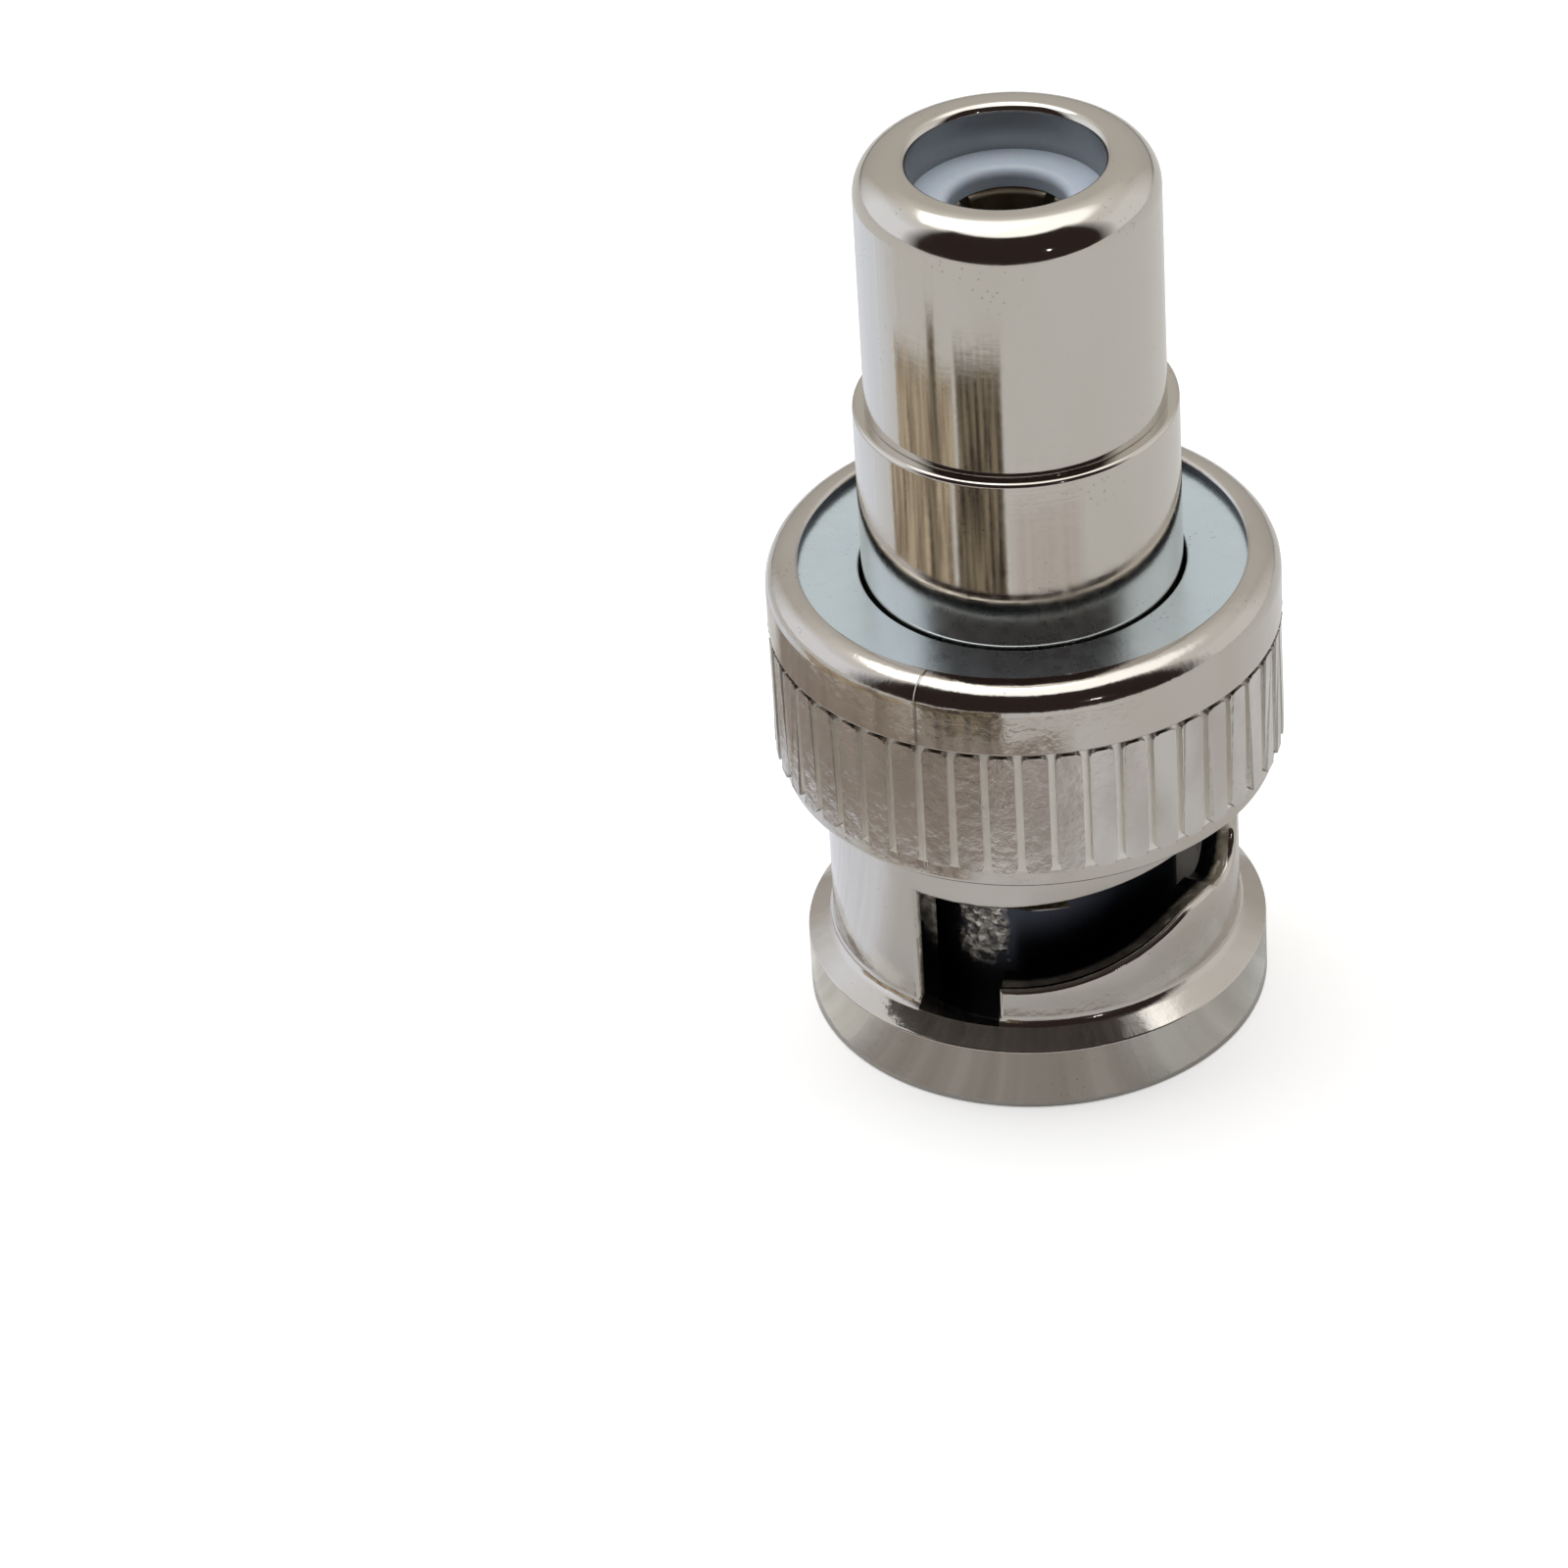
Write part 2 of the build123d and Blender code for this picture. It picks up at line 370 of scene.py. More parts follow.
class Wiring:
    """Adds nodes to a node tree and links them."""

    def __init__(self, tree: bpy.types.NodeTree) -> None:
        """Keep the tree."""
        self.tree = tree

    def fill(self, node: bpy.types.Node, sources: Sources) -> None:
        """Link sockets to a node's inputs and set plain values on the others.

        Args:
            node: The node.
            sources: Sockets and values, in order or by the input's number or name.
        """
        for key, source in sources.items() if isinstance(sources, dict) else enumerate(sources):
            if isinstance(source, Socket):
                self.tree.links.new(source, node.inputs[key])
            else:
                node.inputs[key].default_value = source

    def add(self, kind: str, sources: Sources = (), **settings: object) -> bpy.types.Node:
        """Add a node.

        Args:
            kind: Blender's name of the node type.
            sources: Sockets and values for its inputs, as for fill.
            **settings: Properties to set on it.

        Returns:
            The node.
        """
        node = self.tree.nodes.new(kind)
        for key, value in settings.items():
            setattr(node, key, value)
        self.fill(node, sources)
        return node

    def math(self, operation: str, *sources: object) -> Socket:
        """Result of a Math node."""
        return self.add("ShaderNodeMath", sources, operation=operation).outputs[0]

    def times(self, first: object, second: object) -> Socket:
        """Product of two values."""
        return self.math("MULTIPLY", first, second)

    def plus(self, first: object, second: object) -> Socket:
        """Sum of two values."""
        return self.math("ADD", first, second)

    def minus(self, first: object, second: object) -> Socket:
        """Difference of two values."""
        return self.math("SUBTRACT", first, second)

    def mix(self, share: object, first: object, second: object) -> Socket:
        """Mix of two colours, with a share of the second."""
        sources = {0: share, 6: first, 7: second}
        return self.add("ShaderNodeMix", sources, data_type="RGBA").outputs[2]

    def span(
        self, value: object, low: object, high: object, start: float = 0.0, end: float = 1.0
    ) -> Socket:
        """Value mapped from low and high to start and end, clamped."""
        return self.add("ShaderNodeMapRange", (value, low, high, start, end)).outputs[0]

    def group(self, tree: bpy.types.NodeTree, **values: object) -> Socket:
        """Output of a group whose inputs are set by name."""
        return self.add("ShaderNodeGroup", values, node_tree=tree).outputs[0]

    def place(self, system: str = "Object") -> Socket:
        """Coordinates of the surface or the sky."""
        return self.add("ShaderNodeTexCoord").outputs[system]

    def split(self, vector: Socket) -> list[Socket]:
        """Three parts of a vector."""
        return list(self.add("ShaderNodeSeparateXYZ", [vector]).outputs)

    def vector(self, *parts: object) -> Socket:
        """Vector of three parts."""
        return self.add("ShaderNodeCombineXYZ", parts).outputs[0]

    def reach(self, across: Socket, along: Socket) -> Socket:
        """Distance from the axis."""
        squares = [self.times(side, side) for side in (across, along)]
        return self.math("SQRT", self.plus(*squares))

    def turn(self, across: Socket, along: Socket) -> Socket:
        """Angle from the front towards the right, in radians."""
        return self.math("ARCTAN2", across, self.times(along, -1.0))

    def noise(self, where: Socket, scale: object, detail: float) -> Socket:
        """Factor of a Noise Texture."""
        sources = {"Vector": where, "Scale": scale, "Detail": detail}
        return self.add("ShaderNodeTexNoise", sources).outputs[0]


class GroupWiring(Wiring):
    """Wiring of a new shader group with float inputs and one float output."""

    def __init__(self, name: str, **inputs: float) -> None:
        """Start the group.

        Args:
            name: Its name.
            **inputs: Default values of its inputs.
        """
        tree = bpy.data.node_groups.new(name, "ShaderNodeTree")
        kind = "NodeSocketFloat"
        for key, value in inputs.items():
            socket = tree.interface.new_socket(name=key, in_out="INPUT", socket_type=kind)
            socket.default_value = value
        tree.interface.new_socket(name="Mask", in_out="OUTPUT", socket_type=kind)
        super().__init__(tree)
        self.given = self.add("NodeGroupInput").outputs

    def close(self, mask: Socket) -> bpy.types.NodeTree:
        """Lead a mask out of the group, whose tree this returns."""
        self.add("NodeGroupOutput", [mask])
        return self.tree


def new_material(
    name: str, sources: Sources
) -> tuple[bpy.types.Material, Wiring, bpy.types.Node]:
    """Make a material with its Principled BSDF.

    Args:
        name: Name of the material.
        sources: Plain values of the shader's inputs.

    Returns:
        The material, its wiring and the shader's node.
    """
    material = bpy.data.materials.new(name)
    material.use_nodes = True
    wiring = Wiring(material.node_tree)
    shader = material.node_tree.nodes["Principled BSDF"]
    wiring.fill(shader, sources)
    return material, wiring, shader


class Effects:
    """Shader groups that several finishes share."""

    def __init__(self) -> None:
        """Build every group once."""
        self.grain = self.build_grain()
        self.rings = self.build_rings()
        self.seam = self.build_seam()
        self.specks = self.build_specks()
        self.lit_patch = self.build_lit_patch()

    def build_grain(self) -> bpy.types.NodeTree:
        """Build a noise that can be stretched along the axis.

        Returns:
            The group.
        """
        wiring = GroupWiring("surface_grain", Scale=1000.0, Stretch=1.0, Low=0.4, High=0.6)
        scale, stretch, low, high = wiring.given[:4]
        factors = wiring.vector(1.0, 1.0, stretch)
        sources = (wiring.place(), factors)
        scaled = wiring.add("ShaderNodeVectorMath", sources, operation="MULTIPLY").outputs[0]
        return wiring.close(wiring.span(wiring.noise(scaled, scale, detail=4.0), low, high))

    def build_rings(self) -> bpy.types.NodeTree:
        """Build the fine rings that a turning tool leaves round the axis.

        Returns:
            The group.
        """
        wiring = GroupWiring("turning_rings", Scale=9000.0, Low=0.35, High=0.65)
        scale, low, high = wiring.given[:3]
        across, along, height = wiring.split(wiring.place())
        section = wiring.vector(wiring.reach(across, along), 0.0, height)
        return wiring.close(wiring.span(wiring.noise(section, scale, detail=3.0), low, high))

    def build_seam(self) -> bpy.types.NodeTree:
        """Build the thin line where the two halves of the mould met.

        Returns:
            The group.
        """
        wiring = GroupWiring("parting_line", Angle=0.0, Width=0.00006, Start=0.0)
        angle, width, start = wiring.given[:3]
        across, along, height = wiring.split(wiring.place())
        across = wiring.times(across, wiring.math("COSINE", angle))
        along = wiring.times(along, wiring.math("SINE", angle))
        beside = wiring.math("ABSOLUTE", wiring.plus(across, along))
        line = wiring.span(wiring.math("DIVIDE", beside, width), 0.4, 1.0, start=1.0, end=0.0)
        return wiring.close(wiring.times(line, wiring.math("GREATER_THAN", height, start)))

    def build_specks(self) -> bpy.types.NodeTree:
        """Build sparse small specks of dust and pits.

        Returns:
            The group.
        """
        wiring = GroupWiring("specks", Scale=2500.0, Size=0.12)
        scale, size = wiring.given[:2]
        where = wiring.place()
        cells = wiring.add("ShaderNodeTexVoronoi", {"Vector": where, "Scale": scale})
        patches = wiring.span(wiring.noise(where, 600.0, detail=2.0), 0.45, 0.7, end=1.6)
        inside = wiring.minus(wiring.times(size, patches), cells.outputs["Distance"])
        return wiring.close(wiring.span(inside, 0.0, 0.05))

    def build_lit_patch(self) -> bpy.types.NodeTree:
        """Build the ragged patch of painted light behind the entry, where light through the slot
        falls.

        Returns:
            The group.
        """
        wiring = GroupWiring("painted_light_patch", Middle=-0.385, Reach=0.195, Low=0.0032, Fade=0.08)
        middle, reach, low, fade = wiring.given[:4]
        where = wiring.place()
        across, along, height = wiring.split(where)
        offset = wiring.math("ABSOLUTE", wiring.minus(wiring.turn(across, along), middle))
        beside = wiring.math("DIVIDE", wiring.minus(reach, offset), fade)
        above = wiring.math("DIVIDE", wiring.minus(height, low), MM)
        ragged = wiring.times(wiring.minus(wiring.noise(where, 1500.0, detail=4.0), 0.5), 2.4)
        inside = wiring.plus(wiring.math("MINIMUM", beside, above), ragged)
        return wiring.close(wiring.span(inside, 0.0, 0.6))


# Finishes


@dataclass(frozen=True)
class Finish:
    """Two mixed colours, specks, uneven roughness and a fine relief, by default of a metal."""

    name: str
    colour: Colour
    shade: Colour
    roughness: float
    slot: Slot
    roughness_spread: float = 0.06
    metallic: float = 1.0
    subsurface: float = 0.0
    ring_scale: float = 9000.0
    ring_depth: float = 0.0
    grain_scale: float = 3000.0
    grain_depth: float = 0.0
    stain_scale: float = 260.0
    stain_stretch: float = 0.25
    stain_low: float = 0.42
    stain_high: float = 0.68
    stain_strength: float = 0.35
    stain_in_roughness: float = 0.5
    speck_scale: float = 5200.0
    speck_size: float = 0.14
    speck_strength: float = 0.3
    speck_colour: Colour = (0.06, 0.05, 0.045)
    seam_angle: float | None = None
    seam_start: float = 8.4
    seam_width: float = 0.05
    seam_depth: float = 0.012
    seam_colour: Colour = (0.10, 0.075, 0.055)
    # Painted shade: a wall darkens towards the axis inside this radius.
    painted_shade_within: float = 0.0
    painted_shade_fade: float = 0.15
    painted_shade_colour: Colour = (0.02, 0.02, 0.025)
    # Painted light: a ragged, speckled light patch behind the slot's entry, with a faint bump.
    lit_patch: bool = False
    lit_patch_depth: float = 0.05
    lit_patch_dark: Colour = (0.16, 0.16, 0.17)
    lit_patch_bright: Colour = (0.95, 0.92, 0.89)

    def build(self, effects: Effects) -> bpy.types.Material:
        """Build the material.

        Args:
            effects: The shared shader groups.

        Returns:
            The material.
        """
        plain = {
            "Roughness": self.roughness,
            "Metallic": self.metallic,
            "Subsurface Weight": self.subsurface,
            "Subsurface Scale": 0.4 * MM,
        }
        material, wiring, shader = new_material(self.name, plain)
        stain = wiring.group(
            effects.grain,
            Scale=self.stain_scale,
            Stretch=self.stain_stretch,
            Low=self.stain_low,
            High=self.stain_high,
        )
        grain = wiring.group(effects.grain, Scale=self.grain_scale, Low=0.3, High=0.7)
        rings = wiring.group(effects.rings, Scale=self.ring_scale, Low=0.3, High=0.7)
        specks = wiring.group(effects.specks, Scale=self.speck_scale, Size=self.speck_size)
        share = wiring.times(stain, self.stain_strength)
        colour = wiring.mix(share, (*self.colour, 1), (*self.shade, 1))
        share = wiring.times(specks, self.speck_strength)
        colour = wiring.mix(share, colour, (*self.speck_colour, 1))
        uneven = grain
        if self.stain_in_roughness:
            smoother = wiring.times(grain, 1.0 - self.stain_in_roughness)
            uneven = wiring.plus(smoother, wiring.times(stain, self.stain_in_roughness))
        low, high = self.roughness - self.roughness_spread, self.roughness + self.roughness_spread
        relief = wiring.times(grain, self.grain_depth)
        height = wiring.plus(wiring.times(rings, self.ring_depth), relief)
        if self.seam_angle is not None:
            seam = wiring.group(
                effects.seam,
                Angle=math.radians(self.seam_angle),
                Width=self.seam_width * MM,
                Start=self.seam_start * MM,
            )
            colour = wiring.mix(wiring.times(seam, 0.5), colour, (*self.seam_colour, 1))
            height = wiring.plus(height, wiring.times(seam, self.seam_depth))
        # Painted shade towards the axis, inside the given radius.
        if self.painted_shade_within:
            reach = wiring.reach(*wiring.split(wiring.place())[:2])
            start, end = self.painted_shade_within * MM, (self.painted_shade_within + self.painted_shade_fade) * MM
            inner = wiring.span(reach, start, end, start=1.0, end=0.0)
            colour = wiring.mix(inner, colour, (*self.painted_shade_colour, 1))
        # Painted light: the speckled light patch behind the entry, mixed into the colour.
        if self.lit_patch:
            patch = wiring.group(effects.lit_patch)
            speckle = wiring.group(effects.grain, Scale=3500.0, Low=0.38, High=0.6)
            bright = wiring.mix(speckle, (*self.lit_patch_dark, 1), (*self.lit_patch_bright, 1))
            colour = wiring.mix(patch, colour, bright)
            relief = wiring.times(wiring.times(speckle, patch), self.lit_patch_depth)
            height = wiring.plus(height, relief)
        bump = wiring.add("ShaderNodeBump", {"Distance": MM, "Height": height}).outputs[0]
        uneven = wiring.span(uneven, 0.0, 1.0, start=low, end=high)
        wiring.fill(shader, {"Base Color": colour, "Roughness": uneven, "Normal": bump})
        return material


@dataclass(frozen=True)
class SoftFinish(Finish):
    """Plastic or rubber, with a fine grain and faint turning rings."""

    metallic: float = 0.0
    ring_scale: float = 7000.0
    ring_depth: float = 0.002
    grain_scale: float = 2500.0
    grain_depth: float = 0.004
    stain_scale: float = 500.0
    stain_stretch: float = 1.0
    stain_low: float = 0.35
    stain_high: float = 0.7
    stain_strength: float = 0.5
    stain_in_roughness: float = 0.0
    speck_scale: float = 4200.0
    speck_size: float = 0.12
    speck_strength: float = 0.25
    speck_colour: Colour = (0.2, 0.17, 0.14)


@dataclass
class Palette:
    """Every finish of the adapter, built on first use."""

    effects: Effects

    def __post_init__(self) -> None:
        """Start with no material built."""
        self.built: dict[str, bpy.types.Material] = {}

    def dress(
        self,
        piece: bpy.types.Object,
        finish: Finish,
        body: Body,
        node: str,
        keep_slots: bool = False,
    ) -> None:
        """Give a piece its finish, its body and the CAD node that it stands for.

        Args:
            piece: The finished object.
            finish: Its finish.
            body: The body that it rides on.
            node: The CAD node that it replaces.
            keep_slots: Whether the piece's own material slots stay.
        """
        if not keep_slots:
            piece.data.materials.clear()
            piece.data.materials.append(self.material(finish))
        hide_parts(node)
        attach(piece, body.value)
        log.info("%s: %d faces, stands for %s", piece.name, len(piece.data.polygons), node)

    def line(
        self, piece: bpy.types.Object, finish: Finish, within: Callable[[Vector, Vector], bool]
    ) -> None:
        """Give some faces of a piece another finish.

        Args:
            piece: The dressed piece.
            finish: The finish of those faces.
            within: Test of a face's middle in millimetres and its normal.
        """
        piece.data.materials.append(self.material(finish))
        index = len(piece.data.materials) - 1
        for face in piece.data.polygons:
            if within(face.center / MM, face.normal):
                face.material_index = index

    def material(self, finish: Finish) -> bpy.types.Material:
        """Material of a finish, built once.

        Args:
            finish: The finish.

        Returns:
            The material.
        """
        if finish.name not in self.built:
            self.built[finish.name] = finish.build(self.effects)
        return self.built[finish.name]


CAST_SMOOTH = Finish(
    "cast_nickel_smooth", (0.61, 0.58, 0.545), (0.48, 0.42, 0.36), 0.12, Slot.CAST_NICKEL,
    roughness_spread=0.05, grain_scale=1400.0, grain_depth=0.006, seam_angle=-25.4,
)
CAST_ROUGH = Finish(
    "cast_nickel_ribs", (0.66, 0.635, 0.61), (0.46, 0.42, 0.385), 0.22, Slot.CAST_NICKEL,
    grain_scale=2600.0, grain_depth=0.012,
    stain_scale=700.0, stain_stretch=0.5, stain_strength=0.6,
)
# Painted sheen: the groove floors are painted near white and rough, lighter than the ribs, for the
# light the grooves reflect.
CAST_GROOVE_PAINTED_SHEEN = Finish(
    "cast_nickel_grooves_painted_sheen", (0.95, 0.93, 0.89), (0.80, 0.76, 0.70), 0.45, Slot.CAST_NICKEL,
    grain_depth=0.006,
)
# Painted shade: the lip's inner wall is near black, for the shadow line round the washer.
LIP_WALL_PAINTED_SHADE = Finish(
    "cast_nickel_lip_wall_painted_shade", (0.05, 0.05, 0.055), (0.03, 0.03, 0.03), 0.5, Slot.CAST_NICKEL
)
# The slot walls' rough as-cast colour, with painted shade over their inner part.
SLOT_WALL = Finish(
    "cast_nickel_slot_wall", (0.78, 0.74, 0.64), (0.36, 0.32, 0.25), 0.4, Slot.CAST_NICKEL,
    grain_scale=2600.0, grain_depth=0.03,
    stain_scale=1400.0, stain_stretch=1.0, stain_strength=1.0, painted_shade_within=5.3,
)
TURNED_NICKEL = Finish(
    "turned_nickel", (0.63, 0.60, 0.555), (0.54, 0.49, 0.43), 0.1, Slot.TURNED_NICKEL,
    roughness_spread=0.05, ring_depth=0.0002, grain_depth=0.0005,
)
# Painted shade: the wall inside the jack's opening is rougher and painted darker than the nickel
# outside.
BORE_PAINTED_SHADE = Finish(
    "turned_nickel_bore_painted_shade", (0.36, 0.37, 0.385), (0.235, 0.24, 0.25), 0.42, Slot.TURNED_NICKEL
)
# Painted shade: the contact's outer wall, seen through the slots, is painted near black, with the
# painted light patch behind the entry.
CONTACT_PAINTED_SHADE = Finish(
    "turned_nickel_painted_shade", (0.08, 0.09, 0.12), (0.05, 0.06, 0.085), 0.4, Slot.TURNED_NICKEL,
    lit_patch=True,
)
ZINC = Finish(
    "zinc_washer", (0.74, 0.85, 0.92), (0.58, 0.69, 0.79), 0.29, Slot.ZINC,
    roughness_spread=0.05, grain_scale=1800.0, grain_depth=0.004,
    stain_scale=150.0, stain_stretch=1.0, stain_strength=0.5,
)
SPRING_STEEL = Finish(
    "spring_steel", (0.56, 0.55, 0.54), (0.36, 0.34, 0.32), 0.32, Slot.SPRING_STEEL,
    ring_depth=0.004,
)
GOLD = Finish(
    "gold_plate", (0.93, 0.66, 0.29), (0.70, 0.44, 0.16), 0.2, Slot.GOLD, ring_depth=0.003
)
BRASS = Finish(
    "bare_brass", (0.45, 0.38, 0.28), (0.28, 0.23, 0.17), 0.38, Slot.BRASS, ring_depth=0.004
)
WHITE_PLASTIC = SoftFinish(
    "white_plastic", (0.60, 0.67, 0.77), (0.50, 0.57, 0.67), 0.42, Slot.WHITE_PLASTIC,
    subsurface=0.25,
)
RED_RUBBER = SoftFinish(
    "red_rubber", (0.26, 0.035, 0.03), (0.12, 0.02, 0.018), 0.55, Slot.RED_RUBBER,
    grain_depth=0.01,
)


# Sub-assemblies


@dataclass
class Assembly:
    """A sub-assembly that takes its finishes from the palette."""

    palette: Palette


@dataclass
class Coupling(Assembly):
    """Coupling sleeve with its slots and ribs, and the retaining washer that moves with it."""

    bore: float = 4.9
    neck: float = 5.85
    rim: float = 6.6
    rim_height: float = 2.0
    mouth: float = 5.65
    lead_in: float = 0.9
    flare_rise: float = 0.47
    flare_round: float = 0.38
    shoulder: float = 8.05
    step_ring: float = 6.3
    step_height: float = 0.3
    neck_round: float = 0.39
    seat: float = 10.7
    chamber: float = 6.5
    rib_floor: float = 6.98
    rib_top: float = 7.19
    rib_start: float = 8.67
    rib_end: float = 12.52
    rib_gap: float = 0.08
    rib_count: int = 48
    rib_width: float = 0.72
    rib_corner: float = 0.18
    rib_crown: float = 0.05
    rib_foot: float = 0.15
    first_groove: float = -25.4
    band: float = 7.18
    top: float = 14.6
    lip_round: float = 0.7
    lip_inner: float = 6.25
    washer_bottom: float = 13.7
    washer_top: float = 14.3
    washer_inner: float = 4.56
    washer_outer: float = 6.45
    entry_angle: float = -23.5
    entry_half: float = 11.8
    entry_low: float = 2.72
    entry_top: float = 6.35
    groove: float = 5.98
    ramp_start: float = -12.0
    ramp_end: float = 47.0
    ramp_floor: float = 3.57
    crest_floor: float = 4.9
    crest_roof: float = 7.0
    floor_curve: float = 1.9
    roof_curve: float = 1.1
    detent_angle: float = 66.5
    detent_height: float = 5.92
    detent_radius: float = 1.27
    edge_round: float = 0.22
    cutter_outer: float = 7.6
    cutter_inner: float = 4.4

    def blank(self) -> bpy.types.Object:
        """Spin the sleeve without slots and ribs.

        Returns:
            The blank.
        """
        corners: list[Corner] = [
            (self.mouth, 0.0, 0.05),
            (self.rim, 0.0, 0.12),
            (self.rim, self.rim_height, 0.06),
            (self.neck, self.rim_height + self.flare_rise, self.flare_round),
            *((self.neck, height) for height in (3.4, 4.2, 5.0, 5.8, 6.6)),
            (self.neck, self.shoulder - self.step_height, self.neck_round),
            (self.step_ring, self.shoulder - self.step_height, 0.04),
            (self.step_ring, self.shoulder, 0.05),
            (self.rib_floor, self.shoulder, 0.12),
            (self.rib_floor, self.rib_start - self.rib_gap),
            (self.rib_floor, self.rib_end + self.rib_gap, 0.03),
            (self.band, self.rib_end + self.rib_gap, 0.06),
            (self.band, self.top, self.lip_round),
            (self.lip_inner, self.top, 0.12),
            (self.lip_inner, self.washer_top),
            (self.chamber, self.washer_top),
            (self.chamber, self.seat),
            (self.bore, self.seat, 0.05),
            (self.bore, self.lead_in),
        ]
        return lathe("coupling_sleeve_cast", corners, steps=240, segments=6)

    def edges(self, angle: float, growth: float) -> tuple[float, float]:
        """Heights of a slot's floor and roof at an angle.

        Args:
            angle: Degrees from the front.
            growth: How far the outline is grown outwards.

        Returns:
            Floor and roof heights.
        """
        share = (angle - self.ramp_start) / (self.ramp_end - self.ramp_start)
        share = min(1.0, max(0.0, share))
        floor = self.ramp_floor + (self.crest_floor - self.ramp_floor) * share**self.floor_curve
        roof = self.entry_top + (self.crest_roof - self.entry_top) * share**self.roof_curve
        radius = self.detent_radius + growth
        across = self.neck * math.sin(math.radians(angle - self.detent_angle))
        rise = math.sqrt(max(0.0, radius**2 - across**2))
        if angle > self.detent_angle:
            return self.detent_height - rise, self.detent_height + rise
        if rise > 0:
            dip = self.detent_height - rise
            top = self.detent_height + rise
            return min(floor - growth, dip), max(roof + growth, top)
        return floor - growth, roof + growth

    def window_angles(self, growth: float) -> list[float]:
        """Angles at which the slot's outline is sampled, from the entry to the detent.

        Args:
            growth: How far the outline is grown outwards.

        Returns:
            The angles, without those of the entry.
        """
        wall = self.entry_angle + self.entry_half + math.degrees(growth / self.neck)
        radius = self.detent_radius + growth
        crest = self.detent_angle - self.meeting(self.crest_floor - growth, radius)
        count = 22
        ramp = [wall + (crest - wall) * index / count for index in range(count + 1)]
        ramp.append(self.detent_angle - self.meeting(self.crest_roof + growth, radius))
        half = math.degrees(math.asin(radius / self.neck))
        turns = (-20, 0, 20, 40, 55, 68, 78)
        return ramp + [self.detent_angle + half * math.sin(math.radians(turn)) for turn in turns]

    def meeting(self, height: float, radius: float) -> float:
        """Degrees from the detent's middle to where its circle meets a level line."""
        across = math.sqrt(radius**2 - (self.detent_height - height) ** 2)
        return math.degrees(math.asin(across / self.neck))

    def strip(self, name: str, radius: float, stations: list[Station]) -> bpy.types.Object:
        """Lay a curved strip of faces between a floor line and a roof line.

        Args:
            name: Name of the object.
            radius: Radius that the strip lies on.
            stations: (angle, floor, roof) along the strip.

        Returns:
            The strip, in edit mode with all of it selected.
        """
        lower = [place_on(angle, radius, floor) for angle, floor, _ in stations]
        upper = [place_on(angle, radius, roof) for angle, _, roof in stations]
        return ribbon(name, lower, upper)

    def sink(self, factor: float) -> None:
        """Extrude the selected faces towards the axis, to a share of their old radius."""
        bpy.ops.mesh.extrude_region_move(TRANSFORM_OT_translate={"value": (0, 0, 0)})
        bpy.ops.transform.resize(value=(factor, factor, 1), center_override=(0, 0, 0))

    def window_cutter(self) -> bpy.types.Object:
        """Cutter of one slot's window, flared at the outside for rounded edges.

        Returns:
            The cutter.
        """
        growth = self.edge_round
        side = math.degrees(growth / self.neck)
        left = self.entry_angle - self.entry_half - side
        right = self.entry_angle + self.entry_half + side
        low = self.entry_low - growth
        high = self.entry_top + growth
        stations = [(left + (right - left) * share, low, high) for share in (0, 0.25, 0.5, 0.75)]
        stations.append((right - 0.2, low, self.edges(right, growth)[1]))
        stations += [(angle, *self.edges(angle, growth)) for angle in self.window_angles(growth)]
        piece = self.strip("window_cutter", self.cutter_outer, stations)
        reach = self.neck + CLEAR
        self.sink(reach / self.cutter_outer)
        bpy.ops.mesh.normals_make_consistent(inside=False)
        for turn_from, turn_to in ((0, 30), (30, 60), (60, 90)):
            start, end = math.radians(turn_from), math.radians(turn_to)
            thickness = growth * (math.sin(end) - math.sin(start))
            depth = growth * (math.cos(start) - math.cos(end))
            bpy.ops.mesh.inset(thickness=thickness * MM, depth=0)
            factor = (reach - depth) / reach
            bpy.ops.transform.resize(value=(factor, factor, 1), center_override=(0, 0, 0))
            reach -= depth
        self.sink(self.cutter_inner / reach)
        merge_and_orient()
        bpy.ops.object.mode_set(mode="OBJECT")
        return piece

    def channel_cutter(self) -> bpy.types.Object:
        """Cutter of one entry channel inside the rim.

        Returns:
            The cutter.
        """
        left = self.entry_angle - self.entry_half
        right = self.entry_angle + self.entry_half
        stations = [(left + (right - left) * index / 8, -0.5, self.entry_top) for index in range(9)]
        piece = self.strip("channel_cutter", self.groove, stations)
        self.sink(self.cutter_inner / self.groove)
        merge_and_orient()
        bpy.ops.object.mode_set(mode="OBJECT")
        return piece

    def rib(self) -> bpy.types.Object:
        """Model one rib at the front, with rounded corners and a crowned top.

        Returns:
            The rib.
        """
        foot = self.rib_floor - self.rib_foot
        piece = block("rib", self.rib_width, (-self.rib_top, -foot), (self.rib_start, self.rib_end))
        bpy.ops.object.mode_set(mode="EDIT")
        self.select_edges(piece, lambda way: abs(way.y) > 0.9)
        corner = self.rib_corner * MM
        bpy.ops.mesh.bevel(offset=corner, segments=2, profile=0.5, clamp_overlap=False)
        self.select_edges(piece, lambda way: abs(way.x) > 0.9)
        bpy.ops.mesh.subdivide(number_cuts=3)
        self.crown_rib(piece)
        merge_and_orient()
        smooth(piece, math.radians(60))
        return piece

